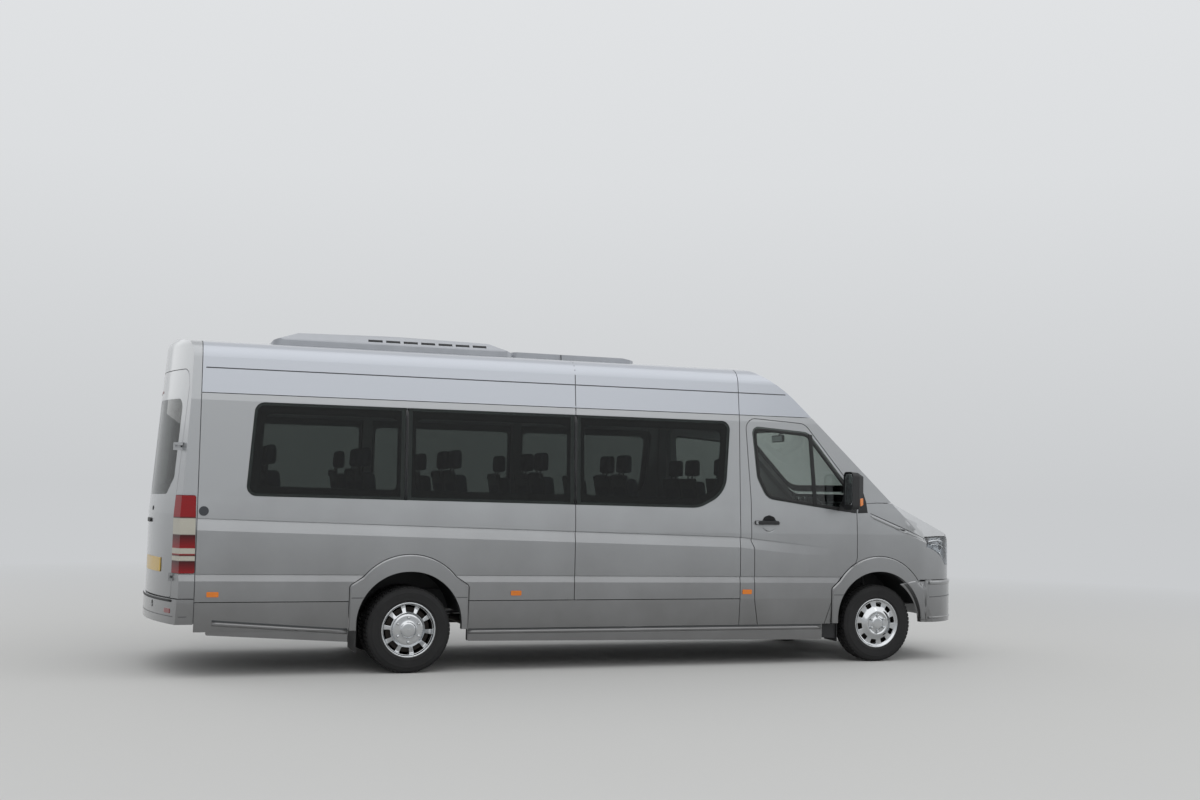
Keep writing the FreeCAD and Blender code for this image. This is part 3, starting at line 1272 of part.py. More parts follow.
def rear_axle():
    inner_end = S.rear_wheel_half - S.twin_pitch - 24
    spindle_end = S.rear_wheel_half - 16
    z = S.tyre_radius
    tube = rod(V(REAR_X, -inner_end + 6, z), V(REAR_X, inner_end - 6, z), S.axle_radius)
    spindle = rod(V(REAR_X, -spindle_end, z), V(REAR_X, spindle_end, z), S.spindle_radius)
    casing = Part.makeSphere(150, V(REAR_X, 0, z))
    casing = casing.common(block(REAR_X - 130, REAR_X + 150, -120, 120, 150, 480))
    pieces_found = [tube, spindle, casing]
    half = S.spring_width / 2
    for sign in (-1, 1):
        y = sign * S.spring_half
        for x in (REAR_X - 640, REAR_X + 640):
            pieces_found.append(block(x - 22, x + 22, y - half, y + half, 440, S.rail_base - S.fit))
        low = z + S.axle_radius + 12
        rows = [(REAR_X - 640, 448, 0), (REAR_X - 640, 462, 0), (REAR_X, low + 20, 3500),
                (REAR_X + 640, 462, 0), (REAR_X + 640, 448, 0), (REAR_X, low, 3500)]
        pieces_found.append(side_prism(rows, y - half, y + half))
        pieces_found.append(block(REAR_X - 70, REAR_X + 70, y - half, y + half, z + 10, low + 30))
    return fused(pieces_found[0], *pieces_found[1:])


keep("rear_axle", rear_axle())


# Running gear as plain blocks and tubes, bound to the sheet.

def bound(kind, label, **formulas):
    item = doc.addObject(kind, label)
    item.Label = label
    for name, formula in formulas.items():
        item.setExpression(name.replace("_at_", "Placement.Base."), str(formula))
    pieces[label] = item
    return item


FRONT_AT = "dims.overall_length / 2 - dims.front_overhang"
REAR_AT = "dims.overall_length / 2 - dims.front_overhang - dims.wheelbase"
engine = bound("Part::Box", "engine_cube", Length="dims.engine_length", Width="dims.engine_width",
               Height="dims.engine_height", _at_x=f"{FRONT_AT} - dims.engine_length * 0.35",
               _at_y="-dims.engine_width / 2", _at_z="dims.engine_base")
gearbox = bound("Part::Box", "gearbox", Length="dims.gearbox_length + 1", Width="dims.gearbox_width",
                Height=200, _at_x=f"{FRONT_AT} - dims.engine_length * 0.35 - dims.gearbox_length",
                _at_y="-dims.gearbox_width / 2", _at_z="dims.rail_base - 190")
power_unit = doc.addObject("Part::Fuse", "engine_block")
power_unit.Base = engine
power_unit.Tool = gearbox
del pieces["engine_cube"], pieces["gearbox"]
pieces["engine_block"] = power_unit
bound("Part::Box", "fuel_tank", Length=700, Width=330, Height=190, _at_x=f"{REAR_AT} + 2200",
      _at_y="dims.rail_half - 350", _at_z="dims.floor_base - 190 - dims.fit")
gearbox_end = FRONT_X - S.engine_length * 0.35 - S.gearbox_length
shaft = bound("Part::Cylinder", "propeller_shaft", Radius=38,
              Height="dims.wheelbase - dims.engine_length * 0.35 - dims.gearbox_length - 150 - 2 * dims.fit")
shaft.Placement = FreeCAD.Placement(V(REAR_X + 150 + S.fit, 0, S.tyre_radius),
                                    FreeCAD.Rotation(ACROSS, 90))


# Seats: cushion, back, head rest and legs as one profile across each seat.

def seat(x, y, width, places):
    """x is the front foot of the back rest; the seat faces forward."""
    base = FLOOR_TOP + S.seat_height - S.seat_pad
    top = FLOOR_TOP + S.seat_height
    lean = 95
    rows = [
        (x - S.seat_pad, base, 30), (x + S.seat_depth, base, 30), (x + S.seat_depth, top, 45),
        (x, top - 15, 30), (x - lean, top + S.seat_back_height, 40),
        (x - lean - S.seat_pad, top + S.seat_back_height, 40),
    ]
    found = [side_prism(rows, y - width / 2, y + width / 2)]
    pitch = width / places
    head_z = top + S.seat_back_height + 18
    for place in range(places):
        centre = y - width / 2 + pitch * (place + 0.5)
        head = front_prism(box_rows(centre - S.head_width / 2, centre + S.head_width / 2, head_z,
                                    head_z + S.head_height, 45), x - lean - 95, x - lean - 5)
        stem = block(x - lean - 70, x - lean - 45, centre - 50, centre + 50, head_z - 60, head_z + 20)
        found.extend([head, stem])
    for leg_y in (y - width / 2 + 60, y + width / 2 - 60):
        found.append(block(x - 60, x + S.seat_depth - 60, leg_y - 20, leg_y + 20, FLOOR_TOP, base + 10))
    return fused(found[0], *found[1:])


ROOM_HALF = S.body_half_width - S.wall - S.rib_depth
first_x = TAIL_X + S.first_row_ahead
seat_rows = []
for row in range(5):
    x = first_x + row * S.row_pitch
    pair_y = -(ROOM_HALF - 10 - S.seat_width)
    single_y = ROOM_HALF - 10 - S.seat_width / 2
    seat_rows.append(seat(x, pair_y, 2 * S.seat_width, 2))
    seat_rows.append(seat(x, single_y, S.seat_width, 1))
for index, item in enumerate(seat_rows):
    seat_rows[index] = item.cut(REAR_WELL).cut(mirrored(REAR_WELL))
keep("passenger_seats", solids(*seat_rows))

cab_x = DOOR_REAR_X + 90
keep("cab_seats", solids(seat(cab_x, -S.driver_half, 480, 1), seat(cab_x, S.driver_half, 820, 2)))


# Dashboard, steering column and wheel.

WHEEL_CENTRE = V(FRONT_X - S.steering_wheel_back, -S.driver_half, S.steering_wheel_height)
TILT = math.radians(S.column_tilt)
COLUMN = V(-math.sin(TILT), 0, math.cos(TILT))


def dashboard_piece():
    x1 = FRONT_X - 340
    rows = [
        (x1, 1040, 0), (x1, 1390, 0), (x1 - 60, 1418, 20), (x1 - 200, 1400, 40), (x1 - 300, 1330, 50),
        (x1 - 260, 1180, 60), (x1 - 120, 1040, 60),
    ]
    board = side_prism(rows, -WIDE, WIDE).common(envelope(S.wall + 14))
    console = side_prism([(x1, 760, 0), (x1, 1100, 0), (x1 - 200, 1250, 30), (x1 - 150, 760, 30)], -130, 150)
    return fused(board, console)


column = rod(WHEEL_CENTRE - COLUMN * (24 + S.fit), WHEEL_CENTRE - COLUMN * 330, 34)
column_bracket = block(FRONT_X - 660, FRONT_X - 570, -S.driver_half - 30, -S.driver_half + 30, 1110, 1240)
dashboard = fused(dashboard_piece(), column, column_bracket)
keep("dashboard", solids(dashboard))


def steering_wheel_piece():
    rim = Part.makeTorus(S.steering_wheel_radius - S.steering_wheel_rim, S.steering_wheel_rim)
    hub = Part.makeCylinder(62, 40, V(0, 0, -24))
    found = [rim, hub]
    for angle in (0, 180, 270):
        spoke = block(40, S.steering_wheel_radius - 16, -22, 22, -10, 8)
        spoke.rotate(ORIGIN, UP, angle)
        found.append(spoke)
    wheel = fused(found[0], *found[1:])
    wheel.Placement = FreeCAD.Placement(WHEEL_CENTRE, FreeCAD.Rotation(UP, COLUMN))
    return wheel


keep("steering_wheel", steering_wheel_piece())

# Mud flaps behind the wheels.
def mud_flap(x, y0, y1, low, high):
    return block(x - 6, x, -y1, -y0, low, high)


flap_y = S.body_half_width - S.wall - 15
front_flap = mud_flap(FRONT_X - S.arch_radius + 30, 700, flap_y, 186, 540)
rear_flap = mud_flap(REAR_X - S.arch_radius + 16, 560, flap_y, 172, 500)
keep("mud_flaps", both_sides(solids(front_flap, rear_flap)))


def side_marker(x, z):
    return side_prism(box_rows(x - 45, x + 45, z - 20, z + 20, 8), -S.body_half_width - 7,
                      -S.body_half_width - S.fit)


marker_z = (S.cladding_height + S.moulding_height - S.moulding_band) / 2 - 12
markers = [side_marker(TAIL_X + 480, marker_z), side_marker(SLIDER_SEAM_X - 509, marker_z),
           side_marker(CAB_SEAM_X + 66, marker_z)]
keep("side_markers", both_sides(solids(*markers)))


# Spare wheel under the tail, and exhaust.

spare_z = S.rail_base - 112
spare = rod(V(TAIL_X + 850, 0, spare_z - 97), V(TAIL_X + 850, 0, spare_z + 97), S.tyre_radius - 2)
spare_cut = rod(V(TAIL_X + 850, 0, spare_z - 98), V(TAIL_X + 850, 0, spare_z - 30), S.bead_radius - 20)
hanger = block(TAIL_X + 790, TAIL_X + 910, -S.rail_half, S.rail_half, spare_z + 97, S.rail_base + 20)
keep("spare_wheel", fused(spare.cut(spare_cut), hanger))


def exhaust_piece():
    y = -300
    z = S.rail_base - 95
    start = rod(V(FRONT_X - 500, y, z), V(REAR_X + 1690, y, z), 28)
    silencer = rod(V(REAR_X + 1050, y, z), V(REAR_X + 1700, y, z), 82)
    tail = rod(V(REAR_X + 545, y, z), V(REAR_X + 1060, y, z), 28)
    outlet = rod(V(REAR_X + 520, y + 31, z), V(REAR_X + 520, -S.body_half_width + 80, z), 31)
    straps = [block(x - 15, x + 15, -S.rail_half - 20, y, z - 4, z + 4) for x in (REAR_X + 1120, REAR_X + 1640)]
    risers = [block(x - 15, x + 15, -S.rail_half - 20, -S.rail_half - 12, z - 4, S.rail_base - S.fit)
              for x in (REAR_X + 1120, REAR_X + 1640)]
    return fused(start, silencer, tail, outlet, *straps, *risers)


keep("exhaust", exhaust_piece())


doc.recompute()
wrong = [item.Name for item in doc.Objects if "Invalid" in item.State or "Error" in item.State]
wrong += [label for label in pieces if pieces[label].Shape.isNull() or not pieces[label].Shape.isValid()]
if wrong:
    raise RuntimeError("failed: " + ", ".join(wrong))

for label in pieces:
    shape = pieces[label].Shape
    print(label, len(shape.Solids), round(shape.Volume / 1e6, 2))

os.makedirs("parts", exist_ok=True)
for label in pieces:
    pieces[label].Shape.exportStep(f"parts/{label}.step")
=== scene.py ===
# %% [markdown]
# # A silver minibus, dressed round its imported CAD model
#
# The CAD model gives every panel its shape and place. Blender adds the finishes, the soft seats, the
# rubber and the small parts. The script is a lesson: each text cell says what a piece is on the real
# vehicle, and the code cell below it makes that piece.

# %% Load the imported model
import json
import math

import bmesh
import bpy
from mathutils import Matrix, Vector
from mathutils.bvhtree import BVHTree


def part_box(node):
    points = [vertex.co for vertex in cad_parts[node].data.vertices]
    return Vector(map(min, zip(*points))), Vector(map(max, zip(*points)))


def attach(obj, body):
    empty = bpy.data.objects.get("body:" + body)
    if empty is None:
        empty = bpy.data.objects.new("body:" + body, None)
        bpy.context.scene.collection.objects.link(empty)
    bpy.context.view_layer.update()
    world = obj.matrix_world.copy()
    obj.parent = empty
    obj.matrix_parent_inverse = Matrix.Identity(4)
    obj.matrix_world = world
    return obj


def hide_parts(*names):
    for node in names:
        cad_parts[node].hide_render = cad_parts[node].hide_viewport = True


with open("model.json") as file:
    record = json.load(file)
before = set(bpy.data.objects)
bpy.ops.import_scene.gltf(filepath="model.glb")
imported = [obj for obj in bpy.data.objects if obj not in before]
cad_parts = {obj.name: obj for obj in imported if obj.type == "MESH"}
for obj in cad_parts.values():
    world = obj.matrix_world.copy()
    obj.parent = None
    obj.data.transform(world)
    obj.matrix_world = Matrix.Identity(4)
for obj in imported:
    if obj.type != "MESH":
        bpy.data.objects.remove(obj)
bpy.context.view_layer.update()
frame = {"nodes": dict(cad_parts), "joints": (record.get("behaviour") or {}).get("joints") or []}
nodes = frame["nodes"]

# %% [markdown]
# ## The camera
#
# The photograph was matched with a camera of 1364 pixels focal length on a picture 1200 pixels wide,
# low beside the road and turned a little towards the nose. Blender's camera looks along its own -Z
# axis, so the three axes of the fitted camera become the columns of its matrix.

# %% Camera
PHOTO_WIDTH = 1200
FOCAL_PIXELS = 1364.0
CAMERA_PLACE = Vector((-3.949, -11.913, 1.475))
CAMERA_YAW, CAMERA_PITCH, CAMERA_ROLL = (math.radians(a) for a in (19.55, 3.91, 1.17))
SENSOR_WIDTH = 36.0
VIEW_LIMIT_M = 200


def camera_axes(yaw, pitch, roll):
    """Right, up and back of a camera that looks along +Y when all three angles are zero."""
    forward = Vector((math.sin(yaw) * math.cos(pitch), math.cos(yaw) * math.cos(pitch), math.sin(pitch)))
    right = Vector((math.cos(yaw), -math.sin(yaw), 0))
    up = right.cross(forward)
    turned_right = right * math.cos(roll) + up * math.sin(roll)
    turned_up = up * math.cos(roll) - right * math.sin(roll)
    return turned_right, turned_up, -forward


camera_data = bpy.data.cameras.new("photo_camera")
camera_data.sensor_width = SENSOR_WIDTH
camera_data.lens = FOCAL_PIXELS / PHOTO_WIDTH * SENSOR_WIDTH
camera_data.clip_end = VIEW_LIMIT_M
camera = bpy.data.objects.new("photo_camera", camera_data)
bpy.context.scene.collection.objects.link(camera)
axes = Matrix(camera_axes(CAMERA_YAW, CAMERA_PITCH, CAMERA_ROLL)).transposed()
camera.matrix_world = Matrix.Translation(CAMERA_PLACE) @ axes.to_4x4()
bpy.context.scene.camera = camera
print("lens", round(camera_data.lens, 2), "mm")

# %% [markdown]
# ## Small helpers
#
# Colours are written as sRGB hex values, as a paint chart gives them, and one function turns them to
# the linear values that the renderer works in. One more function adds a node with its settings and
# links, so that a material reads as a list of what it is made of.

# %% Colour and node helpers
def colour(hex_text):
    """An sRGB hex value as linear red, green, blue and alpha."""
    parts = [int(hex_text[i:i + 2], 16) / 255 for i in (1, 3, 5)]
    return tuple(c / 12.92 if c <= 0.04045 else ((c + 0.055) / 1.055) ** 2.4 for c in parts) + (1.0,)


def add_node(tree, kind, settings=None, links=None):
    """Adds a node to the tree. Settings name its options or inputs, links name inputs and sockets."""
    node = tree.nodes.new(kind)
    for name, value in (settings or {}).items():
        if isinstance(name, int) or name in node.inputs:
            node.inputs[name].default_value = value
        else:
            setattr(node, name, value)
    for name, socket in (links or {}).items():
        tree.links.new(socket, node.inputs[name])
    return node


def new_material(name):
    """An empty node material and its tree."""
    material = bpy.data.materials.new(name)
    material.use_nodes = True
    material.node_tree.nodes.clear()
    return material, material.node_tree


def finish_material(material, tree, surface):
    """Links the last shader to the output and returns the material."""
    add_node(tree, "ShaderNodeOutputMaterial", links={"Surface": surface.outputs[0]})
    return material


def object_noise(tree, size_mm, detail):
    """Noise whose spots are about size_mm across, fixed to the piece."""
    place = add_node(tree, "ShaderNodeTexCoord")
    return add_node(tree, "ShaderNodeTexNoise", {"Scale": 1000 / size_mm, "Detail": detail},
                    {"Vector": place.outputs["Object"]})


def ramp(tree, factor, stops):
    """A colour ramp; stops are places and hex colours."""
    node = add_node(tree, "ShaderNodeValToRGB", links={"Fac": factor})
    band = node.color_ramp
    band.elements[0].position, band.elements[0].color = stops[0][0], colour(stops[0][1])
    band.elements[1].position, band.elements[1].color = stops[-1][0], colour(stops[-1][1])
    for place, hex_text in stops[1:-1]:
        band.elements.new(place).color = colour(hex_text)
    return node


def bump(tree, height, distance_mm, strength=1.0):
    """A bump whose full height is distance_mm."""
    return add_node(tree, "ShaderNodeBump", {"Distance": distance_mm / 1000, "Strength": strength},
                    {"Height": height})


def span(tree, value, low, high, to_low, to_high):
    """Maps a value from one range to another, clamped."""
    return add_node(tree, "ShaderNodeMapRange",
                    {"From Min": low, "From Max": high, "To Min": to_low, "To Max": to_high},
                    {"Value": value}).outputs["Result"]


# %% [markdown]
# ## Painted steel
#
# The body is steel in a silver metallic base coat under clear lacquer. Fine aluminium flakes in the
# base coat catch the light, so a metallic shader with some roughness carries the colour and a thin
# glossy coat lies over it. Towards the sills the paint is painted darker and greyer: a painted reflection
# of a dark road below the body, as a slow gradient on height broken up by soft noise.

# %% Paint materials
# The paint is painted darker from the upper height down to the sill height: painted shade for the dark road
# that the lower body reflects.
SILL_HEIGHT_M = 0.25
LIT_HEIGHT_M = 1.45
SHADE_CLOUD_MM = 420
# Real flakes are a tenth of a millimetre. They are drawn 3 mm wide, so that a trace of them shows.
FLAKE_MM = 3


def painted_steel(name, bright, dull, metallic=0.72, roughness=0.34):
    """Metallic base coat under lacquer. bright is its colour up high, dull its colour at the sills, painted
    darker there as painted shade.
    """
    material, tree = new_material(name)
    place = add_node(tree, "ShaderNodeTexCoord")
    height = add_node(tree, "ShaderNodeSeparateXYZ", links={"Vector": place.outputs["Object"]}).outputs["Z"]
    cloud = object_noise(tree, SHADE_CLOUD_MM, 4.0)
    uneven = add_node(tree, "ShaderNodeMath", {"operation": "MULTIPLY_ADD", 1: 0.5, 2: -0.25},
                      {0: cloud.outputs["Fac"]})
    shade_height = add_node(tree, "ShaderNodeMath", {"operation": "ADD"}, {0: height, 1: uneven.outputs[0]})
    lit_share = span(tree, shade_height.outputs[0], SILL_HEIGHT_M, LIT_HEIGHT_M, 0, 1)
    base = ramp(tree, lit_share, [(0.0, dull), (1.0, bright)])
    flake = object_noise(tree, FLAKE_MM, 1.0)
    sparkle = span(tree, flake.outputs["Fac"], 0.3, 0.7, roughness - 0.03, roughness + 0.04)
    shader = add_node(tree, "ShaderNodeBsdfPrincipled",
                      {"Metallic": metallic, "Coat Weight": 1.0, "Coat Roughness": 0.12},
                      {"Base Color": base.outputs["Color"], "Roughness": sparkle})
    return finish_material(material, tree, shader)


# Silver base coat under lacquer, pale up high and painted darker and greyer towards the sills: a painted
# reflection of a dark road.
silver_paint = painted_steel("silver_metallic_paint", "#A6A8AA", "#6F6F6F")
# The roof's silver is painted a shade paler and cooler: a painted reflection of the sky above it.
roof_paint = painted_steel("silver_metallic_paint_roof", "#B0B4BB", "#A0A3A8")
# Primer without lacquer on the inner steel: flat grey with hardly any shine, darker towards the floor.
inner_paint = painted_steel("grey_primer_inside", "#8C9094", "#6A6C6E", metallic=0.1, roughness=0.5)
print("paints made")

# %% [markdown]
# ## Glass, plastics, metals and rubber
#
# Side windows are tinted privacy glass, and the windscreen is clear with a faint green. Both are thin
# panes, so lamps are let through them by a transparent shader for shadow rays, or the cabin would be
# black. Black parts are moulded polypropylene with a fine grain. Wheel trims are chromed steel.

# %% Glass
def pane(name, tint, shadow_tint, ior=1.5):
    """Sheet glass that lets lamps through."""
    material, tree = new_material(name)
    glass = add_node(tree, "ShaderNodeBsdfPrincipled",
                     {"Base Color": colour(tint), "Roughness": 0.0, "IOR": ior, "Transmission Weight": 1.0})
    passed = add_node(tree, "ShaderNodeBsdfTransparent", {"Color": colour(shadow_tint)})
    path = add_node(tree, "ShaderNodeLightPath")
    both = add_node(tree, "ShaderNodeMixShader", links={0: path.outputs["Is Shadow Ray"],
                                                        1: glass.outputs[0], 2: passed.outputs[0]})
    return finish_material(material, tree, both)


# Glass tinted in the melt: the seats show through it as dark shapes. The pale surroundings would veil
# it, so it reflects a little less than plain glass.
privacy_glass = pane("tinted_privacy_glass", "#7C827F", "#B2B7B4", ior=1.34)
# Door glass has a light green tint, and the cab shows clearly through it.
door_pane = pane("green_tinted_door_glass", "#A8AFAB", "#CDD3D0")
# Laminated glass is nearly clear, with a trace of green.
screen_glass = pane("laminated_windscreen_glass", "#DDE4E0", "#E4EAE7")
# Moulded polycarbonate under a hard coat: clear, glossy and faintly blue.
lamp_cover = pane("clear_polycarbonate_lamp_cover", "#F2F5F7", "#F2F5F7")


# %% Plastics, rubber and metals
def moulded(name, hex_text, roughness=0.55, grain_mm=1.4, depth_mm=0.12, metallic=0.0, vary=0.06, coat=0.0):
    """Moulded plastic, rubber or cast metal: one colour that varies a little, with a fine grain."""
    material, tree = new_material(name)
    broad = object_noise(tree, 180, 4.0)
    grain = object_noise(tree, grain_mm, 2.0)
    tone = span(tree, broad.outputs["Fac"], 0.3, 0.7, 1 - vary, 1 + vary)
    base = add_node(tree, "ShaderNodeMix", {"data_type": "RGBA", "blend_type": "MULTIPLY", "Factor": 1.0,
                                            6: colour(hex_text)}, {7: tone})
    rough = span(tree, broad.outputs["Fac"], 0.3, 0.7, roughness - 0.05, roughness + 0.07)
    shader = add_node(tree, "ShaderNodeBsdfPrincipled", {"Metallic": metallic, "Coat Weight": coat},
                      {"Base Color": base.outputs[2], "Roughness": rough,
                       "Normal": bump(tree, grain.outputs["Fac"], depth_mm).outputs[0]})
    return finish_material(material, tree, shader)


# Moulded polypropylene: nearly black, and its fine grain keeps it from shining.
black_plastic = moulded("black_grained_polypropylene", "#1B1C1E")
# Ceramic enamel fired on the glass: black and as smooth as the glass.
gloss_black = moulded("black_ceramic_print", "#0C0D0E", roughness=0.12, depth_mm=0.0)
# Interior polypropylene: a matt mid grey.
grey_plastic = moulded("grey_interior_polypropylene", "#3A3D41", roughness=0.62)
# Foam-backed knitted cloth of the ceiling: pale and without shine.
pale_lining = moulded("pale_grey_ceiling_lining", "#9A9C9C", roughness=0.9, grain_mm=2.5, depth_mm=0.3)
# Laid-up glassfibre sprayed silver: fewer flakes and a softer gloss than on steel.
painted_glassfibre = moulded("silver_painted_glassfibre", "#A6A9AE", roughness=0.35, depth_mm=0.02,
                             metallic=0.35, coat=0.6)
# Vulcanised rubber with carbon black: matt, and uneven from dust.
tyre_rubber = moulded("black_tyre_rubber", "#151516", roughness=0.78, grain_mm=2.2, depth_mm=0.2, vary=0.15)
# Extruded rubber: black with a dull sheen.
seal_rubber = moulded("black_seal_rubber", "#111213", roughness=0.6)
# Enamel over hot-rolled steel: black and a little blotched from the road.
black_frame = moulded("black_chassis_enamel", "#18191B", roughness=0.5, grain_mm=5, depth_mm=0.2, vary=0.2)
# Sand-cast iron: dark, rough and half shiny.
cast_iron = moulded("cast_iron_power_unit", "#3E3F40", roughness=0.6, grain_mm=2.5, depth_mm=0.5,
                    metallic=0.7)
# Steel tube that heat has turned brown in patches.
exhaust_steel = moulded("heat_stained_exhaust_steel", "#6A6258", roughness=0.5, grain_mm=4, depth_mm=0.1,
                        metallic=0.9, vary=0.25)
# Chromium on pressed steel: a mirror, a little uneven from the press.
chrome = moulded("chromed_pressed_steel", "#BFC1C3", roughness=0.08, grain_mm=60, depth_mm=0.0,
                 metallic=1.0, vary=0.03)
# Amber acrylic: a strong colour under a glossy face.
amber_lens = moulded("amber_acrylic_lens", "#E07A10", roughness=0.15, depth_mm=0.0, coat=0.5)
# Woven cloth with threads of a millimetre, drawn 3 mm wide so that they show: dark blue grey and matt.
seat_cloth = moulded("woven_seat_cloth", "#2E3440", roughness=0.9, grain_mm=3, depth_mm=0.5)
print("glass, plastics and metals made")

# %% [markdown]
# ## Tail lamps
#
# Each tail lamp is one tall moulding of acrylic: red for brake and tail, clear over the indicator and
# reversing lamps. The bands lie at fixed heights, so the colour is a ramp on height.

# %% Tail lamp lens
LAMP_FOOT, LAMP_HEAD = 0.80, 1.395


def banded_lens(name):
    """Red acrylic with clear bands over the indicator and the reversing lamp: glossy, and ribbed inside."""
    material, tree = new_material(name)
    place = add_node(tree, "ShaderNodeTexCoord")
    height = add_node(tree, "ShaderNodeSeparateXYZ", links={"Vector": place.outputs["Object"]}).outputs["Z"]
    share = span(tree, height, LAMP_FOOT, LAMP_HEAD, 0, 1)
    red, dark, clear = "#8C0810", "#3E060A", "#B9B6AA"
    bands = ramp(tree, share, [(0.0, red), (0.155, dark), (0.165, clear), (0.215, clear), (0.225, dark),
                               (0.245, red), (0.255, clear), (0.315, clear), (0.325, red), (0.49, dark),
                               (0.502, clear), (0.70, clear), (0.712, dark), (0.73, red), (1.0, red)])
    ribs = add_node(tree, "ShaderNodeTexWave", {"bands_direction": "Z", "Scale": 26.0, "Distortion": 0.0},
                    {"Vector": place.outputs["Object"]})
    shader = add_node(tree, "ShaderNodeBsdfPrincipled", {"Coat Weight": 0.6, "Coat Roughness": 0.03,
                                                         "Roughness": 0.3, "Specular IOR Level": 0.1},
                      {"Base Color": bands.outputs["Color"],
                       "Normal": bump(tree, ribs.outputs["Fac"], 1.0, 0.4).outputs[0]})
    return finish_material(material, tree, shader)


red_lens = banded_lens("red_and_clear_acrylic_lens")

# %% Give every CAD node its finish
FINISHES = {
    silver_paint: ["side_panels", "sliding_door", "cab_side_rings", "front_door_right",
                   "front_door_left", "bonnet", "wings", "rear_surround", "rear_door_right",
                   "rear_door_left", "lower_cladding", "front_bumper", "rear_bumper", "arch_flares"],
    roof_paint: ["roof_panel", "roof_front_cap"],
    inner_paint: ["body_frame", "door_jambs", "floor_pan", "front_structure"],
    privacy_glass: ["side_glass", "rear_door_glass_right", "rear_door_glass_left"],
    door_pane: ["front_door_glass_right", "front_door_glass_left"],
    screen_glass: ["windscreen"],
    lamp_cover: ["headlamps"],
    black_plastic: ["mirror_right", "mirror_left", "scuttle", "grille", "steering_wheel",
                    "wheel_houses", "mud_flaps"],
    grey_plastic: ["dashboard"],
    painted_glassfibre: ["aircon_unit"],
    tyre_rubber: ["front_tyre_right", "front_tyre_left", "rear_tyres_right", "rear_tyres_left",
                  "spare_wheel"],
    chrome: ["front_wheel_right", "front_wheel_left", "rear_wheel_right", "rear_wheel_left"],
    black_frame: ["chassis_frame", "front_suspension", "rear_axle", "knuckle_right", "knuckle_left",
                  "propeller_shaft", "fuel_tank", "tow_sockets"],
    cast_iron: ["engine_block"],
    exhaust_steel: ["exhaust"],
    red_lens: ["tail_lamps"],
    amber_lens: ["side_markers"],
    seat_cloth: ["passenger_seats", "cab_seats"],
}
for material, names in FINISHES.items():
    for name in names:
        nodes[name].data.materials.clear()
        nodes[name].data.materials.append(material)
print("finishes given to", sum(len(names) for names in FINISHES.values()), "nodes")

# %% [markdown]
# ## Ways to make a piece
#
# Every extra piece sits on the CAD model, so it needs to know where the skin is. A ray cast at a CAD
# node's mesh gives that place, and a flat outline drawn in millimetres is laid on the skin point by
# point. Round things are a profile turned about an axle.

# %% Meshes and modifiers
MM = 0.001
# The vehicle's right is -Y. MIRRORED turns what is drawn for the right side over to the left.
SIDES = ((-1, "right"), (1, "left"))
MIRRORED = ((1, "right"), (-1, "left"))
SHARP_DEGREES = 35
BEVEL_FROM_DEGREES = 40
MERGE_M = 0.00002


def link_mesh(name, mesh, material, body="chassis", smooth=True):
    """An object at the origin for a finished mesh. It rides on the chassis unless a body is named."""
    if material is not None:
        mesh.materials.clear()
        mesh.materials.append(material)
    for polygon in mesh.polygons:
        polygon.use_smooth = smooth
    thing = bpy.data.objects.new(name, mesh)
    bpy.context.scene.collection.objects.link(thing)
    if smooth:
        mesh.set_sharp_from_angle(angle=math.radians(SHARP_DEGREES))
    if body is not None:
        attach(thing, body)
    return thing


def make_piece(name, points, faces, material, body="chassis", smooth=True):
    """A piece from points in metres. Doubles are merged, then the faces are turned outwards."""
    bm = bmesh.new()
    verts = [bm.verts.new(p) for p in points]
    for face in faces:
        corners = [verts[i] for i in face]
        if len(set(corners)) == len(corners):
            bm.faces.new(corners)
    bmesh.ops.remove_doubles(bm, verts=bm.verts[:], dist=MERGE_M)
    bmesh.ops.recalc_face_normals(bm, faces=bm.faces[:])
    mesh = bpy.data.meshes.new(name)
    bm.to_mesh(mesh)
    bm.free()
    return link_mesh(name, mesh, material, body, smooth)


def thicken(thing, thickness_mm, offset=-1.0):
    """Gives a sheet its wall."""
    wall = thing.modifiers.new("wall", "SOLIDIFY")
    wall.thickness, wall.offset = thickness_mm * MM, offset
    return thing


def soften(thing, width_mm, segments=2):
    """Rounds the edges over."""
    edge = thing.modifiers.new("edge", "BEVEL")
    edge.width, edge.segments, edge.limit_method = width_mm * MM, segments, "ANGLE"
    edge.angle_limit = math.radians(BEVEL_FROM_DEGREES)
    return thing


def refine(thing, levels):
    """Subdivision surface, the same in the view and in the render."""
    smooth = thing.modifiers.new("smooth", "SUBSURF")
    smooth.levels = smooth.render_levels = levels
    return thing


# %% Rays at the skin
def skin_of(*names, laid=()):
    """A tree of the named CAD nodes, and of pieces laid on them, for casting rays at."""
    bm = bmesh.new()
    for name in names:
        bm.from_mesh(nodes[name].data)
    for piece in laid:
        bm.from_mesh(piece.data)
    tree = BVHTree.FromBMesh(bm)
    bm.free()
    return tree


def touch(skin, start, direction, lift_mm=0.0):
    """Where a ray meets the skin, lifted back along the ray. None where it misses."""
    way = Vector(direction).normalized()
    place = skin.ray_cast(Vector(start), way)[0]
    return None if place is None else place - way * lift_mm * MM


# %% Outlines
def rounded(corners, steps=7):
    """A closed outline from corners (across, up, radius), with a curve at each corner."""
    outline = []
    count = len(corners)
    for i, (x, z, radius) in enumerate(corners):
        here = Vector((x, z))
        before = Vector(corners[i - 1][:2]) - here
        after = Vector(corners[(i + 1) % count][:2]) - here
        if radius <= 0:
            outline.append(here)
            continue
        half = before.angle(after) / 2
        reach = min(radius / math.tan(half), before.length * 0.48, after.length * 0.48)
        start = here + before.normalized() * reach
        end = here + after.normalized() * reach
        for k in range(steps + 1):
            t = k / steps
            outline.append(start * (1 - t) ** 2 + here * 2 * t * (1 - t) + end * t ** 2)
    return outline


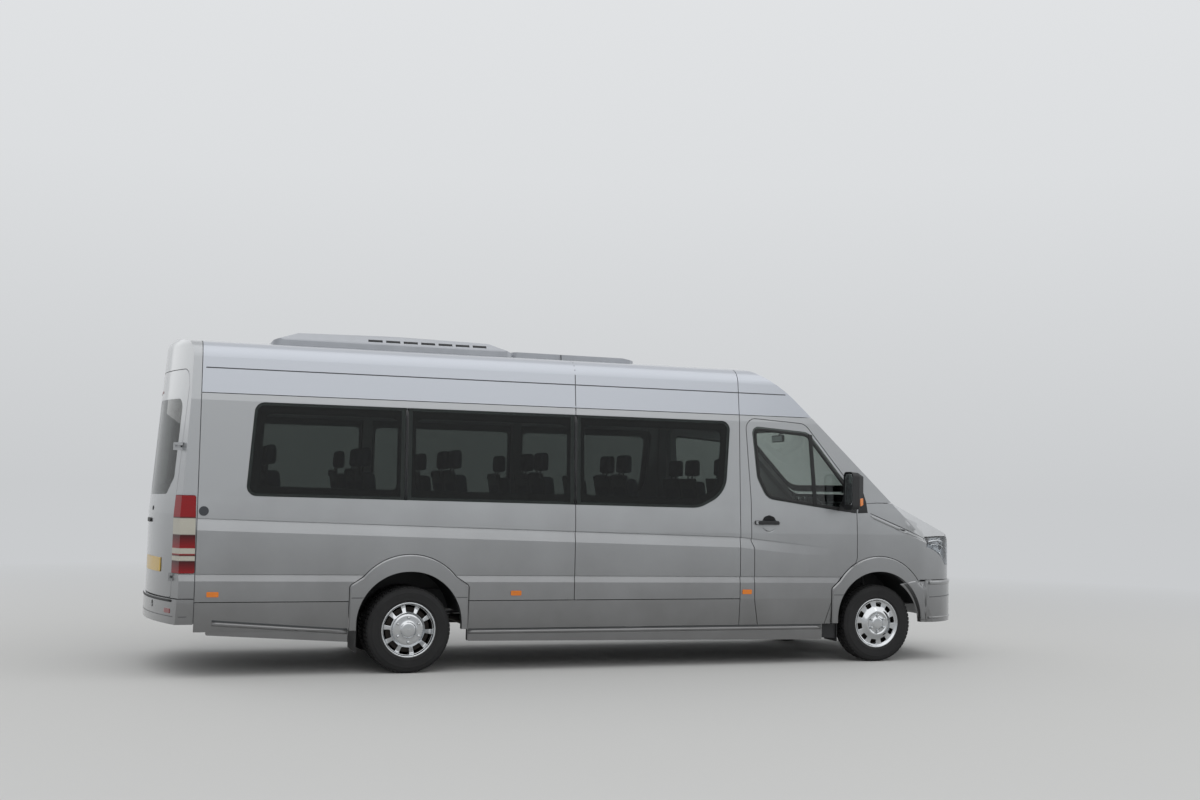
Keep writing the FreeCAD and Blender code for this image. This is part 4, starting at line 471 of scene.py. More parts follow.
def spokes(outline, count, about=None):
    """The outline's points on evenly turned rays from its middle, or another's, so that two match."""
    box = about or outline
    middle = Vector(((min(p.x for p in box) + max(p.x for p in box)) / 2,
                     (min(p.y for p in box) + max(p.y for p in box)) / 2))
    found = []
    for k in range(count):
        turn = 2 * math.pi * k / count
        way = Vector((math.cos(turn), math.sin(turn)))
        best = None
        for a, b in zip(outline, outline[1:] + outline[:1]):
            edge = b - a
            cross = way.x * edge.y - way.y * edge.x
            if abs(cross) < 1e-9:
                continue
            gap = a - middle
            along = (gap.x * edge.y - gap.y * edge.x) / cross
            share = (gap.x * way.y - gap.y * way.x) / cross
            if along > 0 and -1e-6 <= share <= 1 + 1e-6:
                best = along if best is None else max(best, along)
        found.append(middle + way * best)
    return found


def shrunk(outline, inset):
    """The outline moved inwards by inset millimetres."""
    count = len(outline)
    area = sum(a.x * b.y - b.x * a.y for a, b in zip(outline, outline[1:] + outline[:1]))
    turn = 1 if area > 0 else -1
    moved = []
    for i, here in enumerate(outline):
        way = outline[(i + 1) % count] - outline[i - 1]
        if way.length < 1e-9:
            continue
        way.normalize()
        moved.append(here + Vector((-way.y, way.x)) * inset * turn)
    return moved


# %% Bands and turned pieces
def laid_band(name, outer, inner, lay, material, body, rows=3, wall_mm=0.0):
    """A band between two matched outlines, laid on the skin by lay(point)."""
    points, faces = [], []
    count = len(outer)
    for i in range(count):
        for k in range(rows + 1):
            points.append(lay(outer[i].lerp(inner[i], k / rows)))
    for i in range(count):
        after = (i + 1) % count
        for k in range(rows):
            a, b = i * (rows + 1) + k, after * (rows + 1) + k
            face = (a, b, b + 1, a + 1)
            if all(points[p] is not None for p in face):
                faces.append(face)
    points = [Vector((0, 0, -1)) if p is None else p for p in points]
    used = sorted({p for face in faces for p in face})
    index = {p: n for n, p in enumerate(used)}
    thing = make_piece(name, [points[p] for p in used], [[index[p] for p in face] for face in faces],
                       material, body)
    return thicken(thing, wall_mm, 0.0) if wall_mm else thing


def turned(name, profile, centre, side, material, body, steps=96, closed=False, open_rows=(),
           period=0, gaps=()):
    """A profile of (outward, radius) in mm turned about an axle along Y.

    Of every period steps, the faces of open_rows are left out at the steps in gaps.
    """
    points, faces = [], []
    rows = len(profile)
    for i in range(steps):
        angle = 2 * math.pi * i / steps
        for out, radius in profile:
            points.append(Vector((centre[0] + radius * MM * math.cos(angle), centre[1] + side * out * MM,
                                  centre[2] + radius * MM * math.sin(angle))))
    last = rows if closed else rows - 1
    for i in range(steps):
        after = (i + 1) % steps
        for k in range(last):
            if k in open_rows and i % period in gaps:
                continue
            n = (k + 1) % rows
            faces.append((i * rows + k, after * rows + k, after * rows + n, i * rows + n))
    return make_piece(name, points, faces, material, body)


# %% [markdown]
# Things that repeat, such as tread blocks, wheel nuts and slats, are one small mesh copied by Geometry
# Nodes. The tree takes the piece, how many copies there are, the step and the turn from one copy to the
# next, and the centre that they turn about. Its result becomes a plain mesh.

# %% Geometry Nodes for copies
def copies_tree():
    """Copies of one piece, each a step and a turn further than the last."""
    tree = bpy.data.node_groups.new("copies_of_a_piece", "GeometryNodeTree")
    sockets = (("Geometry", "NodeSocketGeometry"), ("Piece", "NodeSocketObject"),
               ("Count", "NodeSocketInt"), ("Step", "NodeSocketVector"), ("Turn", "NodeSocketVector"),
               ("Centre", "NodeSocketVector"), ("Finish", "NodeSocketMaterial"))
    for name, kind in sockets:
        tree.interface.new_socket(name, in_out="INPUT", socket_type=kind)
    tree.interface.new_socket("Geometry", in_out="OUTPUT", socket_type="NodeSocketGeometry")
    given = add_node(tree, "NodeGroupInput")
    index = add_node(tree, "GeometryNodeInputIndex")
    move = add_node(tree, "ShaderNodeVectorMath", {"operation": "SCALE"},
                    {0: given.outputs["Step"], "Scale": index.outputs[0]})
    turn = add_node(tree, "ShaderNodeVectorMath", {"operation": "SCALE"},
                    {0: given.outputs["Turn"], "Scale": index.outputs[0]})
    places = add_node(tree, "GeometryNodePoints", links={"Count": given.outputs["Count"],
                                                         "Position": move.outputs[0]})
    source = add_node(tree, "GeometryNodeObjectInfo", links={"Object": given.outputs["Piece"]})
    spread = add_node(tree, "GeometryNodeInstanceOnPoints", links={
        "Points": places.outputs[0], "Instance": source.outputs["Geometry"], "Rotation": turn.outputs[0]})
    real = add_node(tree, "GeometryNodeRealizeInstances", links={"Geometry": spread.outputs[0]})
    placed = add_node(tree, "GeometryNodeTransform", links={"Geometry": real.outputs[0],
                                                            "Translation": given.outputs["Centre"]})
    coated = add_node(tree, "GeometryNodeSetMaterial", links={"Geometry": placed.outputs[0],
                                                              "Material": given.outputs["Finish"]})
    add_node(tree, "NodeGroupOutput", links={"Geometry": coated.outputs[0]})
    return tree


COPIES = copies_tree()
COPY_INPUTS = {item.name: item.identifier for item in COPIES.interface.items_tree if item.in_out == "INPUT"}


def copied(name, piece, count, material, body="chassis", step=(0, 0, 0), turn=(0, 0, 0), centre=(0, 0, 0),
           smooth=True):
    """count copies of a piece as one plain mesh. The piece itself is deleted."""
    carrier = bpy.data.objects.new(name + "_carrier", bpy.data.meshes.new(name + "_carrier"))
    bpy.context.scene.collection.objects.link(carrier)
    modifier = carrier.modifiers.new("copies", "NODES")
    modifier.node_group = COPIES
    for key, value in (("Piece", piece), ("Count", count), ("Step", step), ("Turn", turn),
                       ("Centre", centre), ("Finish", material)):
        modifier[COPY_INPUTS[key]] = value
    bpy.context.view_layer.update()
    graph = bpy.context.evaluated_depsgraph_get()
    mesh = bpy.data.meshes.new_from_object(carrier.evaluated_get(graph), depsgraph=graph)
    mesh.name = name
    bpy.data.objects.remove(carrier)
    bpy.data.objects.remove(piece)
    return link_mesh(name, mesh, material, body, smooth)


print("copy tree with inputs", ", ".join(COPY_INPUTS))

# %% [markdown]
# ## Window borders
#
# Bonded windows have a black ceramic border printed on the glass, which hides the glue and keeps the sun
# off it. Each border is a thin band between two outlines, laid on the inner face of the CAD pane by rays
# from the middle of the vehicle. The cab door's glass sits in a black rubber channel instead, and a
# divider bar stands between the main pane and the fixed quarter pane.

# %% Printed borders of the side windows
# Corners (x, z, radius) of the clear glass inside each border.
CLEAR = {
    "rear": [(-2868, 1478, 60), (-2838, 2050, 60), (-1788, 2050, 40), (-1788, 1468, 40)],
    "middle": [(-1634, 1468, 40), (-1634, 2050, 40), (-340, 2050, 40), (-340, 1458, 40)],
    "front": [(-184, 1458, 40), (-184, 2050, 40), (1092, 2050, 60), (1050, 1540, 150), (850, 1446, 150)],
}
SPOKE_COUNT = 120
side_skin = skin_of("side_glass")


def pane_outlines(node, side):
    """The outlines (x, z) of a node's panes on one side of the vehicle, from rear to front."""
    bm = bmesh.new()
    bm.from_mesh(nodes[node].data)
    bmesh.ops.remove_doubles(bm, verts=bm.verts[:], dist=0.00005)
    bm.normal_update()
    outer = {face for face in bm.faces if face.normal.y * side > 0.6 and face.verts[0].co.y * side > 0}
    after = {}
    for edge in bm.edges:
        if len([face for face in edge.link_faces if face in outer]) == 1:
            for vert in edge.verts:
                after.setdefault(vert, []).append(edge.other_vert(vert))
    outlines = []
    while after:
        first = here = next(iter(after))
        came, loop = None, []
        while here in after:
            ways = after.pop(here)
            loop.append(Vector((here.co.x / MM, here.co.z / MM)))
            onward = [vert for vert in ways if vert is not came and vert in after]
            came, here = here, onward[0] if onward else first
        if len(loop) > 3:
            outlines.append(loop)
    bm.free()
    return sorted(outlines, key=lambda loop: min(point.x for point in loop))


def printed_border(name, outer, clear, lay, body="chassis"):
    """The band of ceramic print from a pane's edge to its clear glass."""
    laid_band(name, spokes(outer, SPOKE_COUNT, clear), spokes(clear, SPOKE_COUNT), lay, gloss_black, body)


def lay_inside(skin, side, lift_mm):
    """Lays (x, z) points on the inner face of a side skin, seen from the middle of the vehicle."""
    def lay(point):
        return touch(skin, (point.x * MM, 0.0, point.y * MM), (0, side, 0), lift_mm)
    return lay


OUTSIDE_Y = 2.0
USUAL_SIDE_Y = 0.95


def lay_outside(skin, side, lift_mm):
    """Lays (x, z) points on the outer face of a side skin. Beyond its edge the nearest point serves."""
    def lay(point):
        start = Vector((point.x * MM, side * OUTSIDE_Y, point.y * MM))
        place = touch(skin, start, (0, -side, 0), lift_mm)
        if place is None:
            near = skin.find_nearest(Vector((start.x, side * USUAL_SIDE_Y, start.z)))[0]
            place = Vector((start.x, near.y + side * lift_mm * MM, start.z))
        return place
    return lay


EDGE_GAP = 1.5
PRINT_LIFT_MM = 0.6
for side, hand in SIDES:
    outlines = pane_outlines("side_glass", side)
    for place, outline in zip(CLEAR, outlines):
        printed_border(f"{place}_window_border_{hand}", shrunk(outline, EDGE_GAP), rounded(CLEAR[place]),
                       lay_inside(side_skin, side, PRINT_LIFT_MM))
    print(hand, "side panes with borders:", len(outlines))

# %% Rubber channel and divider of the cab door glass
DOOR_GLASS = [(1406, 2088, 60), (1948, 2050, 120), (2362, 1556, 120), (2362, 1352, 30), (1908, 1412, 200),
              (1540, 1462, 130), (1446, 1644, 160)]
DIVIDER = [(1954, 2044), (1994, 2040), (2034, 1392), (1994, 1396)]
CHANNEL_WIDTH = 26
DIVIDER_ROWS = 14
for side, hand in SIDES:
    door_skin = skin_of(f"front_door_glass_{hand}")
    body = f"front_door_{hand}"
    outline = rounded(DOOR_GLASS)
    laid_band(f"door_glass_channel_{hand}", spokes(outline, SPOKE_COUNT),
              spokes(shrunk(outline, CHANNEL_WIDTH), SPOKE_COUNT, outline),
              lay_outside(door_skin, side, 0.8), seal_rubber, body, wall_mm=2.0)
    bar = [Vector(p) for p in DIVIDER]
    points, faces = [], []
    lay = lay_outside(door_skin, side, 1.5)
    for k in range(DIVIDER_ROWS + 1):
        for a, b in ((bar[0], bar[3]), (bar[1], bar[2])):
            points.append(lay(a.lerp(b, k / DIVIDER_ROWS)))
        if k:
            faces.append((2 * k - 2, 2 * k - 1, 2 * k + 1, 2 * k))
    soften(thicken(make_piece(f"door_glass_divider_{hand}", points, faces, seal_rubber, body), 6, 0.0), 2)
print("door glass channels made")

# %% Printed borders of the rear door glass
REAR_GLASS = [(-796, 1530, 60), (-792, 2144, 90), (-76, 2154, 50), (-76, 1400, 50), (-682, 1408, 60)]
REAR_CLEAR = [(-736, 1560, 60), (-732, 2070, 70), (-130, 2080, 45), (-130, 1472, 45), (-650, 1480, 50)]


def lay_inside_rear(skin, lift_mm, mirror):
    """Lays (y, z) points on the inner face of a rear door, by rays that run backwards."""
    def lay(point):
        return touch(skin, (0.0, mirror * point.x * MM, point.y * MM), (-1, 0, 0), lift_mm)
    return lay


for mirror, hand in MIRRORED:
    rear_skin = skin_of(f"rear_door_glass_{hand}")
    printed_border(f"rear_window_border_{hand}", rounded(REAR_GLASS), rounded(REAR_CLEAR),
                   lay_inside_rear(rear_skin, PRINT_LIFT_MM, mirror), f"rear_door_{hand}")
print("rear window borders made")

# %% [markdown]
# ## Wheels
#
# The tyres are 195 mm wide commercial tyres: a smooth bulging sidewall with moulded rings, and a tread of
# five ribs cut into blocks. The carcass is a turned profile. The blocks of one pitch are a small mesh, and
# Geometry Nodes turn sixty copies about the axle. The trims are chromed pressed steel with ten slots near
# the rim. Each is a turned sheet in which the faces at the slots are left out, then given a wall and
# subdivided, which rounds the slots as a press does.

# %% Tyres
TYRE_RADIUS = 345
TREAD_PITCHES = 60
CARCASS = [(60, 204), (76, 207), (86, 216), (90, 228), (93, 236), (95, 238), (95.6, 244), (94.8, 247),
           (97, 262), (97.6, 280), (96.6, 294), (97.2, 297), (96.2, 301), (94.6, 303), (92.5, 316),
           (89, 327), (84, 334), (74, 337), (50, 338), (25, 338.5), (0, 338.7)]
RIBS = ((-89, -60), (-53, -24), (-18, 18), (24, 53), (60, 89))
BLOCK_SKEWS = (0.012, -0.016, 0.02, -0.016, 0.012)
BLOCK_FILL = 0.80
GROOVE_RADIUS = 336
# Radius and share of the full width at a block's foot, below its rounded edge and on its top.
BLOCK_LEVELS = ((GROOVE_RADIUS, 1.0), (TYRE_RADIUS - 1.2, 0.94), (TYRE_RADIUS, 0.86))
SHOULDER_FROM, SHOULDER_DROP = 80, 4.5


def tread_slice(name):
    """The blocks of one pitch at the top of the tyre: tapered sides, with the shoulder blocks slanted."""
    points, faces = [], []
    half = math.pi / TREAD_PITCHES * BLOCK_FILL
    for (near, far), skew in zip(RIBS, BLOCK_SKEWS):
        drop = [(SHOULDER_DROP if abs(w) > SHOULDER_FROM else 0) for w in (near, far)]
        first = len(points)
        for level_radius, slack in BLOCK_LEVELS:
            for w, cut, bend in ((near, drop[0], -skew), (far, drop[1], skew)):
                for way in (-1, 1):
                    angle = way * half * slack + bend
                    radius = (level_radius - (cut if level_radius > GROOVE_RADIUS else 2)) * MM
                    middle = (near + far) / 2
                    along = (middle + (w - middle) * slack) * MM
                    points.append(Vector((radius * math.sin(angle), along, radius * math.cos(angle))))
        for level in (0, 4):
            a, b, c, d = first + level, first + level + 1, first + level + 3, first + level + 2
            for u, v in ((a, b), (b, c), (c, d), (d, a)):
                faces.append((u, v, v + 4, u + 4))
        faces.append((first + 8, first + 9, first + 11, first + 10))
    return make_piece(name, points, faces, tyre_rubber, None, smooth=False)


def tyre(name, centre, body):
    """One tyre round a centre: its carcass and its tread, joined."""
    profile = CARCASS + [(-w, r) for w, r in CARCASS[-2::-1]]
    carcass = turned(name + "_carcass", profile, centre, 1, tyre_rubber, body, steps=120)
    tread = copied(name + "_tread", tread_slice(name + "_slice"), TREAD_PITCHES, tyre_rubber, body,
                   turn=(0, 2 * math.pi / TREAD_PITCHES, 0), centre=centre, smooth=False)
    return carcass, tread


AXLES = {"front": (2.6685, 0.855), "rear": (-1.6565, 0.880)}
INNER_REAR_Y = 0.654
WHEEL_Z = 0.345
for side, hand in SIDES:
    x, y = AXLES["front"]
    made = tyre(f"front_tyre_{hand}_rubber", (x, side * y, WHEEL_Z), f"front_wheel_{hand}")
    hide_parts(f"front_tyre_{hand}")
    x, y = AXLES["rear"]
    outer = tyre(f"rear_outer_tyre_{hand}_rubber", (x, side * y, WHEEL_Z), f"rear_wheel_{hand}")
    tyre(f"rear_inner_tyre_{hand}_rubber", (x, side * INNER_REAR_Y, WHEEL_Z), f"rear_wheel_{hand}")
    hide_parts(f"rear_tyres_{hand}")
print("tyres made:", TREAD_PITCHES, "pitches each")

# %% Rims, trims and nuts
SLOTS = 10
COLUMNS = 6
RIM_FRONT = [(84, 221), (88, 217), (84, 211), (72, 206), (40, 200), (-20, 190), (-60, 196), (-74, 206),
             (-78, 218), (-74, 221), (-64, 205), (-18, 184), (42, 194), (66, 200)]
TRIM_FRONT = [(83, 224), (88, 221), (90, 214), (85, 208), (78, 203), (75, 197), (74, 190), (74, 180),
              (75, 170), (76, 160), (78, 150), (83, 138), (92, 124), (100, 112), (103, 104), (102, 96),
              (97, 90), (96, 82), (100, 62), (103, 54), (109, 50), (112, 40), (112.5, 20), (112.8, 0)]
TRIM_REAR = [(83, 224), (88, 221), (90, 214), (85, 208), (70, 203), (50, 200), (38, 196), (34, 190),
             (35, 178), (38, 166), (42, 154), (46, 144), (52, 134), (60, 126), (66, 118), (68, 108),
             (68, 88), (70, 72), (74, 64), (82, 58), (86, 50), (87, 30), (87.6, 12), (88, 0)]
TRIMS = {"front": TRIM_FRONT, "rear": TRIM_REAR}
DRUM = [(-20, 40), (-20, 150), (-14, 178), (24, 180), (26, 172), (26, 40)]
INNER_DISC = [(30, 60), (40, 120), (20, 186), (14, 186), (34, 118), (24, 60)]
# How far from the axle's line the wheel nuts stand, and how far out they start.
NUT_PLACES = {"front": (73, 97), "rear": (98, 67)}
NUTS, NUT_ACROSS, NUT_SIDES = 6, 26, 6
TRIM_WALL_MM = 3.0
SLOT_ROWS = {"front": (6, 7, 8, 9), "rear": (6, 7, 8, 9, 10)}
OPEN_COLUMNS = {"front": (0, 1, 2), "rear": (0, 1, 2, 3)}


def nut_piece(name, radius, out, side):
    """A wheel nut with a domed cap at the given radius, pointing along the axle."""
    points, faces = [], []
    rings = ((0, NUT_ACROSS), (12, NUT_ACROSS), (16, NUT_ACROSS * 0.8), (18, NUT_ACROSS * 0.4))
    for depth, size in rings:
        for k in range(NUT_SIDES):
            turn = 2 * math.pi / NUT_SIDES * k
            points.append(Vector((size / 2 * MM * math.cos(turn), side * (out + depth) * MM,
                                  (radius + size / 2 * math.sin(turn)) * MM)))
    for level in range(len(rings) - 1):
        for k in range(NUT_SIDES):
            a, b = level * NUT_SIDES + k, level * NUT_SIDES + (k + 1) % NUT_SIDES
            faces.append((a, b, b + NUT_SIDES, a + NUT_SIDES))
    faces.append(tuple(range((len(rings) - 1) * NUT_SIDES, len(rings) * NUT_SIDES)))
    return make_piece(name, points, faces, chrome, None, smooth=False)


# Bare cast iron of the brake drum: dark, with a film of rust.
brake_grey = moulded("cast_iron_brake_drum", "#2A2623", roughness=0.7, grain_mm=3, depth_mm=0.4,
                     metallic=0.6)
for side, hand in SIDES:
    for axle, trim_profile in TRIMS.items():
        x, y = AXLES[axle]
        centre = (x, side * y, WHEEL_Z)
        body = f"{axle}_wheel_{hand}"
        rim = turned(f"{axle}_rim_{hand}", RIM_FRONT, centre, side, chrome, body, closed=True)
        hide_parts(f"{axle}_wheel_{hand}")
        turned(f"{axle}_brake_{hand}", DRUM, centre, side, brake_grey, body, closed=True)
        trim = turned(f"{axle}_trim_{hand}", trim_profile, centre, side, chrome, body,
                      steps=SLOTS * COLUMNS, open_rows=SLOT_ROWS[axle], period=COLUMNS,
                      gaps=OPEN_COLUMNS[axle])
        refine(thicken(trim, TRIM_WALL_MM), 2)
        nut = nut_piece(f"{axle}_nut_{hand}_one", *NUT_PLACES[axle], side)
        copied(f"{axle}_nuts_{hand}", nut, NUTS, chrome, body, turn=(0, 2 * math.pi / NUTS, 0),
               centre=centre, smooth=False)
        if axle == "rear":
            inner = (x, side * INNER_REAR_Y, WHEEL_Z)
            turned(f"rear_inner_rim_{hand}", RIM_FRONT, inner, -side, black_frame, body, closed=True)
            turned(f"rear_inner_disc_{hand}", INNER_DISC, inner, side, black_frame, body, closed=True)
print("wheels dressed")

# %% [markdown]
# ## Small parts on the body
#
# The small parts are patches and mouldings that follow the skin: the door grips with a black patch over
# the upper half of their recess, the black corner piece at the mirror's foot, the plug in the rear quarter,
# reflectors, plates with nothing on them, and the rear door's handle and lock. The black patch is painted
# shade where the recess's upper half faces down. A patch is an outline laid on the skin by rays and given a
# wall, so that it sits on the panel seen from any side.

# %% Patches
def laid_patch(name, outline, lay, material, body="chassis", wall_mm=2.0, rows=5, edge_mm=0.6, count=48):
    """A solid patch inside an outline, laid on the skin."""
    rim = spokes(outline, count)
    middle = sum(rim, Vector((0, 0))) / count
    patch = laid_band(name, rim, [middle] * count, lay, material, body, rows=rows)
    thicken(patch, wall_mm, 0.0)
    return soften(patch, edge_mm) if edge_mm else patch


def disc_outline(x, z, radius, steps=32):
    """A round outline."""
    turns = [2 * math.pi * k / steps for k in range(steps)]
    return [Vector((x + radius * math.cos(turn), z + radius * math.sin(turn))) for turn in turns]


# Rays that look at the nose or the tail start this far ahead of or behind the middle, in metres.
AHEAD_X, BEHIND_X = 4.5, -4.5


def lay_along(skin, start_x, way, lift_mm, mirror=1):
    """Lays (y, z) points on a skin by rays along the vehicle from start_x."""
    def lay(point):
        start = Vector((start_x, mirror * point.x * MM, point.y * MM))
        place = touch(skin, start, (way, 0, 0), lift_mm)
        if place is None:
            place = skin.find_nearest(start + Vector((way * 2.0, 0, 0)))[0]
        return place
    return lay


# Red acrylic with prisms behind: it glows under a glossy face.
red_reflector = moulded("red_prismatic_reflector", "#7A0A10", roughness=0.2, grain_mm=6, depth_mm=0.3,
                        coat=0.8)
GRIP = [(1406, 1228, 16), (1406, 1261, 16), (1664, 1259, 16), (1664, 1229, 16)]
RECESS_SHADE = [(1484, 1256, 8), (1500, 1296, 34), (1552, 1312, 30), (1604, 1294, 34), (1620, 1256, 8)]
DOOR_CORNER = [(2364, 1572, 10), (2435, 1706, 3), (2435, 1340, 3), (2366, 1346, 8)]
WING_CORNER = [(2439, 1740, 8), (2569, 1346, 14), (2439, 1340, 2)]
front_skin = skin_of("cab_side_rings", "wings", "scuttle")
panel_skin = skin_of("side_panels", "sliding_door", "lower_cladding")
for side, hand in SIDES:
    door_skin = skin_of(f"front_door_{hand}")
    body = f"front_door_{hand}"
    # The black patch over the upper half of the recess is painted shade.
    laid_patch(f"door_flap_{hand}", rounded(RECESS_SHADE), lay_outside(door_skin, side, 1.0), black_plastic, body,
               3.0)
    laid_patch(f"door_grip_{hand}", rounded(GRIP), lay_outside(door_skin, side, 2.0), black_plastic, body,
               5.0)
    laid_patch(f"door_corner_{hand}", rounded(DOOR_CORNER), lay_outside(door_skin, side, 1.5),
               black_plastic, body)
    laid_patch(f"wing_corner_{hand}", rounded(WING_CORNER), lay_outside(front_skin, side, 1.5),
               black_plastic)


def lay_across(skin, side, low, high, lift_mm):
    """Lays (x, z) points straight across a recess, from the skin at one height to the skin at another."""
    def lay(point):
        ends = [lay_outside(skin, side, lift_mm)(Vector((point.x, z))) for z in (low, high)]
        share = (point.y - low) / (high - low)
        place = ends[0].lerp(ends[1], share)
        return Vector((point.x * MM, place.y, point.y * MM))
    return lay


BOWL = [(1478, 1236, 4), (1484, 1196, 40), (1552, 1164, 40), (1620, 1196, 40), (1626, 1236, 4)]
for side, hand in SIDES:
    lay = lay_across(skin_of(f"front_door_{hand}"), side, 1150, 1340, 0.8)
    laid_patch(f"door_bowl_{hand}", rounded(BOWL), lay, silver_paint, f"front_door_{hand}", 1.0)
laid_patch("quarter_plug", disc_outline(-3280, 1277, 37), lay_outside(panel_skin, -1, 1.5), grey_plastic)
print("grips, corner pieces and plug made")

# %% [markdown]
# The mirror glass is a silvered sheet that faces backwards, and an amber lamp is let into the housing's
# outer side. Both are patches on the housing: the glass is laid by rays along the vehicle, the lamp by
# rays from the side, so each takes the curve of what it lies on.

# %% Mirror glass and indicators
# Silvered float glass: a clean mirror.
mirror_glass = moulded("silvered_mirror_glass", "#C8CCCE", roughness=0.03, depth_mm=0.0, metallic=1.0,
                       vary=0.01)
BEHIND_MIRROR_X = 1.9
MIRROR_FACE = [(-1196, 1416, 24), (-1196, 1694, 34), (-1066, 1694, 34), (-1066, 1416, 24)]
MIRROR_LAMP = [(2340, 1404, 8), (2336, 1474, 8), (2381, 1478, 8), (2382, 1416, 8)]
for mirror, hand in MIRRORED:
    skin = skin_of(f"mirror_{hand}")
    body = f"front_door_{hand}"
    laid_patch(f"mirror_glass_{hand}", rounded(MIRROR_FACE),
               lay_along(skin, BEHIND_MIRROR_X, 1, 1.2, mirror), mirror_glass, body, 2.0)
    laid_patch(f"mirror_indicator_{hand}", rounded(MIRROR_LAMP), lay_outside(skin, -mirror, 1.5),
               amber_lens, body, 3.0)
print("mirror faces made")

# %% [markdown]
# The plates are sheets of acrylic with a coloured back, white in front and yellow behind, and they stay
# blank. The handle, the lock, the stop lamps and the reflectors are patches laid on the rear doors and
# the bumper. A boolean would cut them cleaner, but a patch follows the crown of the panel by itself.

# %% Plates, rear handle and reflectors
# Acrylic over white or yellow film: an even colour with a soft gloss.
white_plate = moulded("white_acrylic_plate", "#DCDDD8", roughness=0.3, depth_mm=0.0, coat=0.5)
yellow_plate = moulded("yellow_acrylic_plate", "#C9A21C", roughness=0.3, depth_mm=0.0, coat=0.5)
PLATE_WIDTH, PLATE_HEIGHT, PLATE_CORNER = 520, 111, 8


def plate_outline(y, z):
    """A rounded blank plate round its middle."""
    corners = ((-1, -1), (-1, 1), (1, 1), (1, -1))
    return rounded([(y + a * PLATE_WIDTH / 2, z + b * PLATE_HEIGHT / 2, PLATE_CORNER) for a, b in corners])


nose_skin = skin_of("front_bumper", "grille", "bonnet")
laid_patch("front_plate", plate_outline(0, 648), lay_along(nose_skin, AHEAD_X, -1, 4.0), white_plate,
           "chassis", 3.0, rows=8, count=144)
rear_right = skin_of("rear_door_right")
rear_left = skin_of("rear_door_left")
laid_patch("rear_plate", plate_outline(-395, 850), lay_along(rear_right, BEHIND_X, 1, 4.0), yellow_plate,
           "rear_door_right", 3.0, rows=8, count=144)
laid_patch("rear_lock", disc_outline(-330, 1286, 17), lay_along(rear_right, BEHIND_X, 1, 1.5),
           black_plastic, "rear_door_right", 5.0)
HANDLE = [(-300, 1172, 14), (-300, 1206, 14), (-120, 1206, 14), (-120, 1172, 14)]
laid_patch("rear_handle", rounded(HANDLE), lay_along(rear_right, BEHIND_X, 1, 6.0), black_plastic,
           "rear_door_right", 14.0, edge_mm=4)
STOP_LAMP = [(-150, 2218, 8), (-150, 2240, 8), (-20, 2240, 4), (-20, 2218, 4)]
for mirror, hand, skin in ((1, "right", rear_right), (-1, "left", rear_left)):
    laid_patch(f"high_stop_lamp_{hand}", rounded(STOP_LAMP), lay_along(skin, BEHIND_X, 1, 1.5, mirror),
               red_reflector, f"rear_door_{hand}", 4.0)
bumper_skin = skin_of("rear_bumper")
REFLECTOR = [(-905, 492, 8), (-905, 528, 8), (-800, 528, 8), (-800, 492, 8)]
for mirror, hand in MIRRORED:
    laid_patch(f"rear_reflector_{hand}", rounded(REFLECTOR),
               lay_along(bumper_skin, BEHIND_X, 1, 1.5, mirror), red_reflector, "chassis", 3.0)
print("plates, handle, stop lamps and reflectors made")

# %% [markdown]
# ## Seats
#
# A coach seat is a moulded shell on a steel pedestal that carries a foam cushion, a foam back and a head
# rest, each in a sewn woven cover. The foam swells against its cover, so each kind of pad starts as a
# rounded block a little too small and a cloth simulation with inner pressure swells it. One pad of each
# kind is simulated. Its mesh is then copied to all eighteen places, a little wider or narrower.

# %% Blocks, tubes and finished meshes
def prism(name, outline, y_low, y_high, material, body="chassis", edge_mm=0.0, segments=3):
    """An outline (x, z) in mm drawn through from y_low to y_high, with rounded edges."""
    count = len(outline)
    points = [Vector((p[0] * MM, y * MM, p[1] * MM)) for y in (y_low, y_high) for p in outline]
    faces = [tuple(range(count)), tuple(range(count, 2 * count))]
    for i in range(count):
        after = (i + 1) % count
        faces.append((i, after, count + after, count + i))
    made = make_piece(name, points, faces, material, body, smooth=True)
    return soften(made, edge_mm, segments) if edge_mm else made


def tube(name, route, radius, material, body="chassis", sides=10, closed=False):
    """A round bar through points in metres."""
    route = [Vector(p) for p in route]
    count = len(route)
    points, faces, across = [], [], None
    for i, here in enumerate(route):
        before = route[(i - 1) % count] if closed or i else here
        after = route[(i + 1) % count] if closed or i < count - 1 else here
        way = (after - before).normalized()
        if across is None:
            across = way.orthogonal().normalized()
        across = (across - way * across.dot(way)).normalized()
        other = way.cross(across)
        for k in range(sides):
            turn = 2 * math.pi * k / sides
            points.append(here + (across * math.cos(turn) + other * math.sin(turn)) * radius * MM)
    for i in range(count if closed else count - 1):
        for k in range(sides):
            a, b = i * sides + k, i * sides + (k + 1) % sides
            c, d = ((i + 1) % count) * sides + k, ((i + 1) % count) * sides + (k + 1) % sides
            faces.append((a, b, d, c))
    if not closed:
        faces.append(tuple(range(sides)))
        faces.append(tuple(range((count - 1) * sides, count * sides)))
    return make_piece(name, points, faces, material, body)


def finished_mesh(thing):
    """The mesh of an object with its modifiers applied. The object is deleted."""
    graph = bpy.context.evaluated_depsgraph_get()
    mesh = bpy.data.meshes.new_from_object(thing.evaluated_get(graph), depsgraph=graph)
    bpy.data.objects.remove(thing)
    return mesh


def joined(name, things, material):
    """Several pieces of one finish as one piece, their modifiers applied."""
    bm = bmesh.new()
    for thing in things:
        bm.from_mesh(finished_mesh(thing))
    mesh = bpy.data.meshes.new(name)
    bm.to_mesh(mesh)
    bm.free()
    return link_mesh(name, mesh, material)


# %% Foam pads swelled by cloth simulation
PAD_WIDTH = 430
